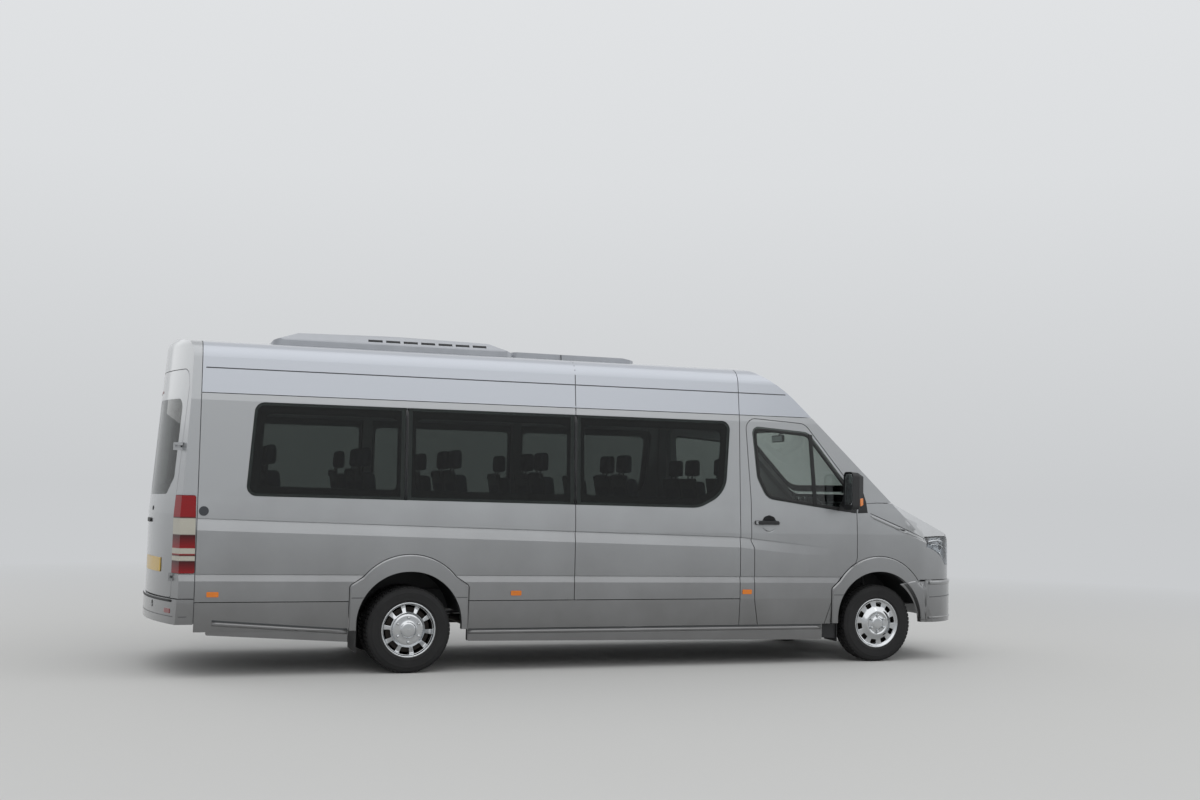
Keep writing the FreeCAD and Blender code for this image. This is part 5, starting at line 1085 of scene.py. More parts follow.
# Each kind's outline (x, z), half width, voxel size and how far a point may swell, in mm.
PAD_KINDS = {
    "cushion": ([(-4, 972), (438, 972), (442, 1040), (396, 1056), (200, 1052), (-4, 1044)], 205, 15, 12),
    "back": ([(-92, 990), (-12, 1058), (-104, 1616), (-186, 1616), (-176, 1520)], 205, 16, 12),
    "head": ([(-184, 1660), (-106, 1656), (-108, 1800), (-126, 1812), (-176, 1810)], 118, 13, 7),
}
SWELL_FRAMES = 20
PRESSURE = 4.0
FOAM_EDGE_MM = 24
# Where the back's and the cushion's seams run, as shares of the half width and as heights or depths.
BACK_SEAM, CUSHION_SEAM, SEAM_WIDTH = 0.62, 0.66, 0.05
BOLSTER_FROM, BOLSTER_RUN, BOLSTER_MM, MIDDLE_SINK_MM = 0.55, 0.3, 12, 4
BACK_CHANNELS, CUSHION_CHANNEL, CHANNEL_MM = (1180, 1330, 1480), 200, 12
BACK_SEAM_DEPTH, CUSHION_SEAM_DEPTH = 7, 6
BACK_FRONT_X, BACK_FOOT_Z, BACK_LEAN = -70, 1058, 0.165
CUSHION_FRONT_Z = 1030


def foam_block(kind):
    """The voxel mesh that a pad starts from."""
    outline, half, voxel, _ = PAD_KINDS[kind]
    thing = prism(f"{kind}_foam", outline, -half, half, seat_cloth, None, edge_mm=FOAM_EDGE_MM, segments=4)
    grid = thing.modifiers.new("grid", "REMESH")
    grid.mode, grid.voxel_size = "VOXEL", voxel * MM
    mesh = finished_mesh(thing)
    block = bpy.data.objects.new(f"{kind}_foam", mesh)
    bpy.context.scene.collection.objects.link(block)
    return block


def swell(blocks):
    """Blows the blocks up with inner pressure, no gravity, and caps how far any point moves."""
    for block in blocks:
        cloth = block.modifiers.new("cloth", "CLOTH")
        cloth.settings.use_pressure = True
        cloth.settings.uniform_pressure_force = PRESSURE
        cloth.settings.effector_weights.gravity = 0.0
    for step in range(1, SWELL_FRAMES + 1):
        bpy.context.scene.frame_set(step)
    graph = bpy.context.evaluated_depsgraph_get()
    for kind, block in zip(PAD_KINDS, blocks):
        cap = PAD_KINDS[kind][3] * MM
        blown = [v.co.copy() for v in block.evaluated_get(graph).data.vertices]
        for vert, place in zip(block.data.vertices, blown):
            shift = place - vert.co
            vert.co += shift * min(1.0, cap / max(shift.length, 1e-9))
        block.modifiers.clear()
    bpy.context.scene.frame_set(1)


# %% Bolsters and seams of the covers
def sewn(kind, mesh):
    """Bolsters and sewn channels: points move forward at the sides and sink along the seams."""
    for vert in mesh.vertices:
        across = abs(vert.co.y) / (PAD_WIDTH / 2 * MM)
        lean = (vert.co.z / MM - BACK_FOOT_Z) * BACK_LEAN
        if kind == "back" and vert.co.x / MM > BACK_FRONT_X - lean:
            bolster = max(0.0, min(1.0, (across - BOLSTER_FROM) / BOLSTER_RUN))
            vert.co.x += BOLSTER_MM * MM * bolster - MIDDLE_SINK_MM * MM * (1 - bolster)
            seam = math.exp(-((across - BACK_SEAM) / SEAM_WIDTH) ** 2)
            for height in BACK_CHANNELS:
                groove = math.exp(-((vert.co.z / MM - height) / CHANNEL_MM) ** 2)
                seam = max(seam, groove * (across < BACK_SEAM))
            vert.co.x -= BACK_SEAM_DEPTH * MM * seam
        if kind == "cushion" and vert.co.z / MM > CUSHION_FRONT_Z:
            seam = math.exp(-((across - CUSHION_SEAM) / SEAM_WIDTH) ** 2)
            groove = math.exp(-((vert.co.x / MM - CUSHION_CHANNEL) / CHANNEL_MM) ** 2)
            seam = max(seam, groove * (across < CUSHION_SEAM))
            vert.co.z -= CUSHION_SEAM_DEPTH * MM * seam


foam_blocks = [foam_block(kind) for kind in PAD_KINDS]
swell(foam_blocks)
PADS = {}
for kind, block in zip(PAD_KINDS, foam_blocks):
    PADS[kind] = block.data
    sewn(kind, block.data)
    bpy.data.objects.remove(block)
print("pads:", {kind: len(mesh.polygons) for kind, mesh in PADS.items()})

# %% [markdown]
# Five rows of three stand on the floor, two places right of the aisle and one left of it, and three
# places are in the cab. Their origin comes from the CAD seats' boxes, so the pads stay with them.

# %% Seat places
ROW_PITCH = 760
BACK_REACH = 199
FIRST_ROW_X = round(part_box("passenger_seats")[0][0] / MM) + BACK_REACH
CAB_ROW_X = round(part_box("cab_seats")[0][0] / MM) + BACK_REACH
PLACES = [(f"row_{row + 1}_{seat}", FIRST_ROW_X + row * ROW_PITCH, y, PAD_WIDTH)
          for row in range(5) for seat, y in (("window", -680), ("middle", -250), ("single", 680))]
PLACES += [("driver", CAB_ROW_X, -440, 480), ("cab_middle", CAB_ROW_X, 235, 410),
           ("cab_side", CAB_ROW_X, 645, 410)]


def placed_pad(kind, place, x, y, width):
    """One pad at a seat place."""
    mesh = PADS[kind].copy()
    grow = width / PAD_WIDTH if kind != "head" else 1.0
    mesh.transform(Matrix.Translation((x * MM, y * MM, 0)) @ Matrix.Diagonal((1, grow, 1, 1)))
    pad = link_mesh(f"{kind}_{place}", mesh, seat_cloth)
    return pad


for place, x, y, width in PLACES:
    pads = [placed_pad(kind, place, x, y, width) for kind in PAD_KINDS]
    if place == "row_1_window":
        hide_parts("passenger_seats")
    if place == "driver":
        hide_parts("cab_seats")
print("seat places:", len(PLACES))

# %% [markdown]
# The shell is one moulding behind and under the pads, the pedestal two pressed steel legs, and a padded
# tube runs over the back as a grab rail. They are outlines drawn through to the seat's width, because
# the real ones are pressed or moulded with one section from side to side. The window and single places
# of the second row, over the rear wheels, have shorter legs.

# %% Shells, pedestals, arm rests and grab rails
SHELL = [(-86, 962), (-96, 968), (-108, 1060), (-205, 1628), (-196, 1634), (-188, 1626), (-92, 1062),
         (-74, 966)]
PAN = [(-80, 950), (430, 950), (442, 958), (442, 968), (-80, 968)]
LEG = [(10, 950), (330, 950), (262, 760), (290, 656), (350, 654), (350, 642), (-10, 642), (-10, 654),
       (60, 656), (90, 760)]
STEM = [(-172, 1590), (-172, 1672), (-160, 1672), (-160, 1590)]
# Places along a grab rail, as shares of its half width, and their heights over its ends.
RAIL_POINTS = ((-0.96, 0), (-0.9, 34), (-0.7, 44), (0.7, 44), (0.9, 34), (0.96, 0))
RAIL_X, RAIL_Z, RAIL_RADIUS = -205, 1588, 11
SHORT_LEG = [(10, 950), (330, 950), (310, 832), (30, 832)]
OVER_WHEEL = ("row_2_window", "row_2_single")
ARM = [(-100, 1268), (-84, 1296), (190, 1290), (206, 1272), (190, 1254), (-84, 1256)]


def moved(outline, x):
    """An outline moved along the vehicle."""
    return [(px + x, pz) for px, pz in outline]


for place, x, y, width in PLACES:
    half = width / 2
    shell = prism("shell", moved(SHELL, x), y - half + 6, y + half - 6, grey_plastic, None, 4)
    pan = prism("pan", moved(PAN, x), y - half + 8, y + half - 8, grey_plastic, None, 4)
    stems = [prism("stem", moved(STEM, x), y + s * 50 - 6, y + s * 50 + 6, grey_plastic, None, 3)
             for s in (-1, 1)]
    arm = prism("arm", moved(ARM, x), y + half - 42, y + half - 4, grey_plastic, None, 9)
    joined(f"shell_{place}", [shell, pan, arm] + stems, grey_plastic)
    leg = SHORT_LEG if place in OVER_WHEEL else LEG
    legs = [prism("leg", moved(leg, x), y + s * (half - 60) - 9, y + s * (half - 60) + 9, black_frame, None,
                  4) for s in (-1, 1)]
    joined(f"pedestal_{place}", legs, black_frame)
    if place.startswith("row"):
        bar = [Vector(((x + RAIL_X) * MM, (y + t * (half - 40)) * MM, (RAIL_Z + lift) * MM))
               for t, lift in RAIL_POINTS]
        tube(f"grab_rail_{place}", bar, RAIL_RADIUS, black_plastic)
print("shells and pedestals made")

# %% [markdown]
# ## Cabin linings
#
# The ceiling is a padded board that follows the roof ribs from one window top to the other. Its section
# comes from rays out of the middle of the vehicle: in each direction the nearest rib along the whole
# cabin limits it. The lower sides are grey boards and the floor has a dark grained vinyl sheet.

# %% Ceiling, side boards and floor sheet
LINING_FROM, LINING_TO = -3240, 1180
LINING_AXIS_Z = 1.9
RIB_CLEARANCE_MM = 8
RIB_PROBES, PROBE_PITCH = 81, 55
rib_skin = skin_of("body_frame", "roof_panel", "side_panels", "sliding_door")
# Calendered vinyl with a fine grain: dark, matt and hard-wearing.
vinyl = moulded("dark_grained_floor_vinyl", "#2B2D31", roughness=0.7, grain_mm=4, depth_mm=0.4)
ceiling_rows = []
for degrees in range(17, 164, 4):
    turn = math.radians(degrees)
    way = Vector((0, math.cos(turn), math.sin(turn)))
    starts = [Vector(((LINING_FROM + k * PROBE_PITCH) * MM, 0, LINING_AXIS_Z)) for k in range(RIB_PROBES)]
    hits = [rib_skin.ray_cast(start, way) for start in starts]
    reach = min(hit[3] for hit in hits if hit[0] is not None)
    ceiling_rows.append(way * (reach - RIB_CLEARANCE_MM * MM))
points, faces = [], []
for i, row in enumerate(ceiling_rows):
    for x in (LINING_FROM, LINING_TO):
        points.append(Vector((x * MM, row.y, LINING_AXIS_Z + row.z)))
    if i:
        faces.append((2 * i - 2, 2 * i - 1, 2 * i + 1, 2 * i))
thicken(make_piece("ceiling_lining", points, faces, pale_lining), 3, 0.0)
BOARD_Y = 901
HOUSE_X, HOUSE_Z, HOUSE_RADIUS = -1656, 360, 470
turns = [math.radians(degrees) for degrees in range(143, 36, -7)]
arch = [(HOUSE_X + HOUSE_RADIUS * math.cos(turn), HOUSE_Z + HOUSE_RADIUS * math.sin(turn))
        for turn in turns]
BOARD = [(-3240, 648), *arch, (1180, 648), (1180, 1352), (-3240, 1352)]
for side, hand in SIDES:
    near, far = sorted((side * BOARD_Y, side * (BOARD_Y + 3)))
    prism(f"side_board_{hand}", BOARD, near, far, grey_plastic)
prism("floor_sheet_aisle", [(-3300, 641), (1190, 641), (1190, 645), (-3300, 645)], -560, 560, vinyl)
print("cabin lined; ceiling rows", len(ceiling_rows))

# %% [markdown]
# A door card is a moulded board that hides the door's frame, with a padded arm rest to pull the door
# shut by. It is laid on the inner skin by rays from the middle of the vehicle and given a wall, so it
# rides on its door and shows only when the door is open.

# %% Door cards
DOOR_CARD = [(1396, 560, 60), (1396, 1280, 30), (2330, 1262, 30), (2330, 900, 90), (2150, 560, 90)]
ARM_REST = [(1500, 976, 26), (1500, 1036, 26), (2040, 1060, 26), (2040, 1006, 26)]
REAR_CARD = [(-820, 720, 50), (-820, 1330, 50), (-90, 1330, 50), (-90, 720, 50)]
for side, hand in SIDES:
    body = f"front_door_{hand}"
    inside = skin_of(body)
    laid_patch(f"door_card_{hand}", rounded(DOOR_CARD), lay_inside(inside, side, 5.0), grey_plastic, body,
               8.0, edge_mm=3, rows=8, count=72)
    laid_patch(f"door_arm_rest_{hand}", rounded(ARM_REST), lay_inside(inside, side, 26.0), black_plastic,
               body, 36.0, edge_mm=10)
    body = f"rear_door_{hand}"
    laid_patch(f"rear_door_card_{hand}", rounded(REAR_CARD), lay_inside_rear(skin_of(body), 5.0, -side),
               grey_plastic, body, 8.0, edge_mm=3, rows=8, count=72)
print("door cards fitted")

# %% [markdown]
# ## Seams, grooves and ridges
#
# Body panels meet in seams a few millimetres wide, filled with grey sealant on a converted body, and the
# sides are stiffened with rolled grooves and ridges. A strip follows a line of points on the skin. Its
# section is an arch: nearly flat it reads as a filled seam, and raised it is a ridge that takes the light.
# Along a rolled groove the same flat dark grey strip is painted shade.

# %% Strips along a line on the skin
# Strips that run round a corner are drawn by arc, at 17 mm for each degree.
MM_PER_DEGREE = 17
STRIP_LIFT_MM, STRIP_WALL_MM = 0.4, 0.8
FAR_OUT, NEAR_SKIN = 3.0, 0.9
ROOF_AXIS_Z = 1.9
# Polyurethane in the seams: dark grey, with a dull smooth skin. Along rolled grooves the same grey is
# painted shade.
sealant_and_groove_shade = moulded("grey_sealant_and_painted_groove_shade", "#3F4143", roughness=0.55, depth_mm=0.02)


def resampled(line, pitch):
    """The line's points with more between them, about pitch apart."""
    found = [line[0]]
    for a, b in zip(line, line[1:]):
        count = max(1, round((b - a).length / pitch))
        found.extend(a.lerp(b, k / count) for k in range(1, count + 1))
    return found


def laid_strip(name, line, width, height, lay, material, pitch=60, rows=4, taper=False):
    """A strip along a line, laid by lay(point, lift), height mm proud in its middle."""
    line = resampled([Vector(p) for p in line], pitch)
    points, faces = [], []
    last = len(line) - 1
    for i, here in enumerate(line):
        way = (line[min(i + 1, last)] - line[max(i - 1, 0)]).normalized()
        across = Vector((-way.y, way.x))
        share = min(1.0, (last - i) / (last * 0.4), i / (last * 0.1) + 0.2) if taper else 1.0
        for k in range(rows + 1):
            t = 2 * k / rows - 1
            place = here + across * t * width / 2 * max(share, 0.15)
            points.append(lay(place, height * share * (1 - t * t) + STRIP_LIFT_MM))
    for i in range(last):
        for k in range(rows):
            a = i * (rows + 1) + k
            faces.append((a, a + 1, a + rows + 2, a + rows + 1))
    return thicken(make_piece(name, points, faces, material), STRIP_WALL_MM)


def on_side(skin, side):
    """Lays (x, z) points on a side skin at any lift."""
    def lay(point, lift):
        return lay_outside(skin, side, lift)(point)
    return lay


def towards(skin, middle, way, lift):
    """Where a ray from far out along way to the middle meets the skin, or the nearest place on it."""
    place = touch(skin, middle + way * FAR_OUT, -way, lift)
    return skin.find_nearest(middle + way * NEAR_SKIN)[0] if place is None else place


def around(skin, centre_x):
    """Lays (arc, z) points on a skin seen from a standing axis. The arc is in MM_PER_DEGREE."""
    def lay(point, lift):
        turn = math.radians(point.x / MM_PER_DEGREE)
        middle = Vector((centre_x * MM, 0.0, point.y * MM))
        return towards(skin, middle, Vector((math.cos(turn), math.sin(turn), 0)), lift)
    return lay


def over_roof(skin, x):
    """Lays (distance along, arc) points on the roof seen from a level axis under it."""
    def lay(point, lift):
        turn = math.radians(point.y / MM_PER_DEGREE)
        middle = Vector(((x + point.x) * MM, 0, ROOF_AXIS_Z))
        return towards(skin, middle, Vector((0, math.cos(turn), math.sin(turn))), lift)
    return lay


# %% Roof seam and side grooves
ROOF_SEAM_X = -262
ROOF_GROOVE = [(-3300, 2394), (1800, 2394)]
roof_skin = skin_of("roof_panel", "roof_front_cap", "side_panels", "sliding_door", "aircon_unit")
SEAM_ARC = [(0, 14.2 * MM_PER_DEGREE), (0, 165.8 * MM_PER_DEGREE)]
laid_strip("roof_seam", SEAM_ARC, 7, 0.5, over_roof(roof_skin, ROOF_SEAM_X), sealant_and_groove_shade, pitch=40)
body_skin = skin_of("side_panels", "sliding_door", "rear_surround", "roof_panel", "roof_front_cap",
                    "cab_side_rings")
for side, hand in SIDES:
    # The groove along the roof's crease is a dark grey strip: painted shade.
    laid_strip(f"roof_groove_{hand}", ROOF_GROOVE, 9, 0.5, on_side(body_skin, side), sealant_and_groove_shade)
print("roof seam and grooves laid")

# %% [markdown]
# Between the windscreen pillar and the headlamp the wing's top falls to its side in one soft ramp. The
# CAD solids have a step there, so a panel is stretched over it: its heights come from rays at both ends,
# and its rim is sunk in the skin, so that no edge shows. The bonnet's seam and the wing's ridge lie on it.

# %% Bonnet shoulder panels, seams and ridges
SHOULDER_LINE = [(2579, 1341), (2880, 1226), (3168, 1113)]
SHOULDER_X = (2938, 3174)
SHOULDER_IN, SHOULDER_OUT, SIDE_Y = 868, 966, 981
SKIRT_FOOT = (1154, 1066)
SINK_MM = 3.5
EDGE_DROP_M = 0.045
wing_skin = skin_of("wings", "bonnet", "cab_side_rings", "headlamps")


def heights_across(x, side, rows):
    """Heights of the skin on a line across the shoulder. Past the edge the last slope goes on."""
    found = []
    for k in range(rows + 1):
        y = SHOULDER_IN + (SHOULDER_OUT - SHOULDER_IN) * k / rows
        place = touch(wing_skin, (x * MM, side * y * MM, 3.0), (0, 0, -1), 1.5)
        height = -1.0 if place is None else place.z
        if len(found) > 1 and height < found[-1] - EDGE_DROP_M:
            height = 2 * found[-1] - found[-2]
        found.append(height)
    return found


def shoulder_panel(name, side, columns=18, rows=8, fall=6):
    """A smooth ramp over the step at the bonnet's shoulder, with a skirt down the wing. Its rim is sunk."""
    lay = lay_outside(wing_skin, side, 2.0)
    ends = [heights_across(x, side, rows) for x in SHOULDER_X]
    wide = rows + fall
    points, faces = [], []
    for i in range(columns + 1):
        t = i / columns
        x = SHOULDER_X[0] + (SHOULDER_X[1] - SHOULDER_X[0]) * t
        foot = (SKIRT_FOOT[0] + (SKIRT_FOOT[1] - SKIRT_FOOT[0]) * t) * MM
        for k in range(wide + 1):
            if k <= rows:
                y = (SHOULDER_IN + (SHOULDER_OUT - SHOULDER_IN) * k / rows) * MM
                z = ends[0][k] * (1 - t) + ends[1][k] * t
                top = z
            else:
                share = (k - rows) / fall
                z = top + (foot - top) * share
                bulge = (SHOULDER_OUT + (SIDE_Y - SHOULDER_OUT) * share ** 0.5) * MM
                y = max(abs(lay(Vector((x, z / MM))).y), bulge)
            if i in (0, columns) or k in (0, wide):
                z -= SINK_MM * MM * (k <= rows)
                y -= SINK_MM * MM * (k > rows)
            points.append(Vector((x * MM, side * y, z)))
            if i and k:
                a = i * (wide + 1) + k
                faces.append((a, a - 1, a - wide - 2, a - wide - 1))
    return make_piece(name, points, faces, silver_paint)


for side, hand in SIDES:
    panel = shoulder_panel(f"bonnet_shoulder_{hand}", side)
    lay = on_side(skin_of("wings", "bonnet", "headlamps", laid=(panel,)), side)
    laid_strip(f"bonnet_seam_{hand}", SHOULDER_LINE, 6, 0.5, lay, sealant_and_groove_shade, pitch=20)
    lower = [(x, z - 22) for x, z in SHOULDER_LINE[:-1]] + [(3150, 1098)]
    laid_strip(f"wing_ridge_{hand}", lower, 34, 7, lay, silver_paint, pitch=20, taper=True)
print("shoulders, bonnet seams and ridges made")

# %% [markdown]
# ## Bumpers
#
# The front bumper is a moulding with a ledge along its top, a rolled line under it and a lower intake with
# slats. On the real vehicle its end forms the front part of the wheel arch, so a lip runs down there.

# %% Bumper ledge, lines and intake
BUMPER_AXIS = 2900
bumper_front = skin_of("front_bumper")
lay_bumper = around(bumper_front, BUMPER_AXIS)
LEDGE_END = 73.5 * MM_PER_DEGREE
for name, z, width, height in (("bumper_ledge", 712, 40, 6), ("bumper_chin", 392, 24, 5)):
    laid_strip(name, [(-LEDGE_END, z), (LEDGE_END, z)], width, height, lay_bumper, silver_paint, pitch=50,
               rows=6)
# The line runs low at the bumper's ends and steps up over the intake. Its dark grey is painted shade in the
# rolled line.
BUMPER_LINE = [(share * LEDGE_END, z) for share, z in
               ((-1, 582), (-0.55, 590), (-0.46, 612), (0.46, 612), (0.55, 590), (1, 582))]
laid_strip("bumper_line", BUMPER_LINE, 6, 0.5, lay_bumper, sealant_and_groove_shade, pitch=40)
INTAKE_LOW, INTAKE_HIGH, INTAKE_HALF = 455, 575, 440


def curved_panel(name, low, high, half, back, material, body="chassis", steps=24):
    """An upright panel that follows the nose in plan, back mm behind the bumper's skin."""
    points, faces = [], []
    for k in range(steps + 1):
        y = (2 * k / steps - 1) * half
        place = touch(bumper_front, (AHEAD_X, y * MM, (INTAKE_HIGH + 20) * MM), (-1, 0, 0))
        for z in (low, high):
            points.append(Vector((place.x - back * MM, y * MM, z * MM)))
        if k:
            faces.append((2 * k - 2, 2 * k - 1, 2 * k + 1, 2 * k))
    return make_piece(name, points, faces, material, body)


SLAT_COUNT, SLAT_STEP_MM = 5, 23.5
slat_face = curved_panel("slat", INTAKE_LOW + 8, INTAKE_LOW + 20, INTAKE_HALF, 14, black_plastic, None)
one_slat = soften(thicken(slat_face, 10, 0.0), 2)
copied("intake_slats", one_slat, SLAT_COUNT, black_plastic, step=(0, 0, SLAT_STEP_MM * MM))
backing = curved_panel("intake_back", INTAKE_LOW - 8, INTAKE_HIGH + 8, INTAKE_HALF + 12, 42, black_plastic)
thicken(backing, 4, 0.0)
print("bumper dressed")

# %% [markdown]
# The lip from the arch's edge to the bumper is a sheet between two lines. Every point takes the larger of
# a straight run between them and the skin below, so the sheet bridges the gap and never sinks under what
# it covers. A black shield hangs behind the wheel and fills the gap there with dark: painted shade. The
# rear bumper has a tread strip along its top.

# %% Front part of the wheel arch
ARCH_REACH, LIP_END_X = 424, 3184
LIP_LOW, LIP_HIGH, LIP_RISE = 366, 739, 16
lip_skin = skin_of("front_bumper", "arch_flares", "wings")


def arch_lip(name, side, columns=10, rows=22):
    """A panel from the arch's edge to the bumper, always outside what it covers."""
    points, faces = [], []
    for i in range(rows + 1):
        t = i / rows
        turn = math.radians(4 + 52 * t)
        inner = Vector((math.cos(turn), math.sin(turn))) * ARCH_REACH
        inner += Vector((AXLES["front"][0], WHEEL_Z)) / MM
        outer = Vector((LIP_END_X, LIP_LOW + (LIP_HIGH - LIP_LOW) * t))
        ends = lay_outside(lip_skin, side, 2.0)(inner), lay_outside(lip_skin, side, 0.5)(outer)
        for k in range(columns + 1):
            share = k / columns
            place = inner.lerp(outer, share) + Vector((0, LIP_RISE * t ** 3 * math.sin(math.pi * share)))
            laid = lay_outside(lip_skin, side, 2.0 - 1.5 * share)(place)
            reach = max(abs(ends[0].lerp(ends[1], share).y), abs(laid.y))
            points.append(Vector((place.x * MM, side * reach, place.y * MM)))
            if i and k:
                a = i * (columns + 1) + k
                faces.append((a, a - 1, a - columns - 2, a - columns - 1))
    return thicken(make_piece(name, points, faces, silver_paint), 1.0, 0.0)


for side, hand in SIDES:
    arch_lip(f"arch_lip_{hand}", side)
    near, far = sorted((side * 908, side * 900))
    # The black shield behind the wheel is painted shade in the gap there.
    prism(f"splash_shield_{hand}", [(2092, 222), (2092, 352), (2266, 352), (2266, 210)], near, far,
          black_plastic, "chassis", 3)
TAIL_AXIS = -3000
lay_tail = around(skin_of("rear_bumper"), TAIL_AXIS)
laid_strip("bumper_step", [(118 * MM_PER_DEGREE, 588), (242 * MM_PER_DEGREE, 588)], 20, 3, lay_tail,
           black_plastic, pitch=50)
laid_strip("rear_bumper_line", [(108 * MM_PER_DEGREE, 470), (252 * MM_PER_DEGREE, 470)], 5, 0.4, lay_tail,
           sealant_and_groove_shade, pitch=50)
print("arch lips made")

# %% [markdown]
# The last strips on the body: a rolled line and a lip along the sills, the seams at the feet of the arch
# flares, the rubber between the bonded panes with the gap along its middle, and the vents in the sides of
# the roof unit. All follow the skin, so the same strip serves with another width, height and finish. The
# rolled line along the sills is a dark grey strip: painted shade.

# %% Sill lines, flare seams, pane seals and roof-unit vents
cladding_skin = skin_of("lower_cladding", "side_panels", "sliding_door", "rear_bumper")
flare_skin = skin_of("arch_flares", "lower_cladding", "front_bumper")
glass_skin = skin_of("side_glass")
unit_skin = skin_of("aircon_unit")
SILL_LINES = {"rear": [(-3190, 436), (-2560, 388), (-2150, 358)], "middle": [(-1162, 346), (2088, 340)]}
FLARE_SEAM_Z, FLARE_FAR, FLARE_NEAR = 606, 484, 372
PANE_GAPS, PANE_FOOT_Z, PANE_TOP_Z = (-1710.5, -262), 1374, 2128
VENT_COUNT, VENT_PITCH, VENT_Z, VENT_ENDS = 7, 150, 2712, (-1980, -1860)
for side, hand in SIDES:
    lay = on_side(cladding_skin, side)
    for place, line in SILL_LINES.items():
        # A dark grey strip on the sill's rolled line: painted shade.
        laid_strip(f"{place}_sill_groove_{hand}", line, 13, 0.5, lay, sealant_and_groove_shade)
        laid_strip(f"{place}_sill_lip_{hand}", [(x, z - 24) for x, z in line], 30, 7, lay, silver_paint,
                   rows=6)
    for axle, (x, _) in AXLES.items():
        for way, end in ((-1, "rear"), (1, "front")):
            line = [(x / MM + way * FLARE_NEAR, FLARE_SEAM_Z), (x / MM + way * FLARE_FAR, FLARE_SEAM_Z)]
            if (axle, end) != ("front", "front"):
                laid_strip(f"{axle}_flare_seam_{end}_{hand}", line, 6, 0.4, on_side(flare_skin, side),
                           sealant_and_groove_shade, pitch=12)
    for n, x in enumerate(PANE_GAPS):
        line = [(x, PANE_FOOT_Z), (x, PANE_TOP_Z)]
        lay_pane = on_side(glass_skin, side)
        laid_strip(f"pane_seal_{hand}_{n + 1}", line, 26, 0.5, lay_pane, gloss_black)
        laid_strip(f"pane_gap_{hand}_{n + 1}", line, 4, 1.4, lay_pane, grey_plastic)
    for n in range(VENT_COUNT):
        line = [(x + VENT_PITCH * n, VENT_Z) for x in VENT_ENDS]
        laid_strip(f"roof_unit_vent_{hand}_{n + 1}", line, 20, 1.0, on_side(unit_skin, side), black_plastic,
                   pitch=30)
print("sill lines, pane seals and vents laid")

# %% [markdown]
# ## Headlamps
#
# Behind its clear polycarbonate cover a headlamp is a deep bowl of moulded plastic with a layer of
# aluminium on it. The bowl here is the inner face of the CAD cover, drawn inwards. The reflectors and
# the indicator lamp stand in it, and two bright strips run along its top as in the photograph.

# %% Bowls, reflectors and strips
# Plastic with evaporated aluminium on it: a bright mirror.
metallised = moulded("aluminised_lamp_plastic", "#B4B7BA", roughness=0.2, grain_mm=40, depth_mm=0.0,
                     metallic=1.0)
# The bezel's thinner coat: grey and half shiny, so the dishes stand out from it.
lamp_grey = moulded("grey_metallic_lamp_bezel", "#8E9296", roughness=0.28, depth_mm=0.02, metallic=0.85)
# Pressed glass of the lenses: clear and colourless.
bulb_glass = pane("clear_lamp_lens_glass", "#F4F6F8", "#F4F6F8")
BOWL_DEPTH_MM, BOWL_SHRINK = 80, 0.84
RAY_START_X = 5.0
# Each lamp's distance from the middle, height, depth behind the cover, share of toe-out and radius.
LAMPS = {"main": (772, 985, 62, 0.12, 64), "dip": (868, 1050, 66, 0.25, 36), "turn": (664, 935, 60, 0, 32)}


def lamp_bowl(name, side):
    """A tray behind the lamp cover: its inner face moved inwards, with walls back to the cover."""
    bm = bmesh.new()
    bm.from_mesh(nodes["headlamps"].data)
    bmesh.ops.delete(bm, geom=[v for v in bm.verts if v.co.y * side < 0], context="VERTS")
    bmesh.ops.remove_doubles(bm, verts=bm.verts[:], dist=0.00005)
    bm.normal_update()
    outward = Vector((0.7, side * 0.7, 0))
    bmesh.ops.delete(bm, geom=[f for f in bm.faces if f.normal.dot(outward) > -0.15], context="FACES")
    middle = sum((v.co for v in bm.verts), Vector()) / len(bm.verts)
    grown = bmesh.ops.extrude_face_region(bm, geom=bm.faces[:])
    inward = Vector((-0.85, -side * 0.5, 0)) * BOWL_DEPTH_MM * MM
    for vert in (item for item in grown["geom"] if isinstance(item, bmesh.types.BMVert)):
        vert.co = middle + (vert.co - middle) * BOWL_SHRINK + inward
    bmesh.ops.recalc_face_normals(bm, faces=bm.faces[:])
    mesh = bpy.data.meshes.new(name)
    bm.to_mesh(mesh)
    bm.free()
    return thicken(link_mesh(name, mesh, lamp_grey), 1.5, 0.0)


def facing(name, profile, material, place, way, body="chassis", steps=40, closed=True):
    """A turned piece at a place in mm. Its profile's outward side faces a way."""
    piece = turned(name, profile, (0, 0, 0), 1, material, body, steps, closed)
    turn = Vector((0, 1, 0)).rotation_difference(Vector(way).normalized()).to_matrix().to_4x4()
    piece.data.transform(Matrix.Translation(Vector(place) * MM) @ turn)


def round_lamp(name, place, way, radius):
    """A reflector dish with a chrome ring and a clear lens."""
    dish = [(-30, radius * 0.3), (-22, radius * 0.7), (0, radius), (4, radius + 3), (6, radius),
            (2, radius - 4), (-18, radius * 0.66), (-26, radius * 0.3)]
    facing(f"{name}_dish", dish, metallised, place, way)
    dome = [(2, radius - 3), (7, radius * 0.8), (11, radius * 0.45), (12.5, 0), (9, 0), (8, radius * 0.45),
            (4, radius * 0.8), (0, radius - 3)]
    facing(f"{name}_lens", dome, bulb_glass, place, way)


def behind_cover(cover, y, z, depth_mm):
    """The place depth_mm behind the lamp cover's face, seen from the front."""
    return touch(cover, (RAY_START_X, y * MM, z * MM), (-1, 0, 0), -depth_mm) / MM


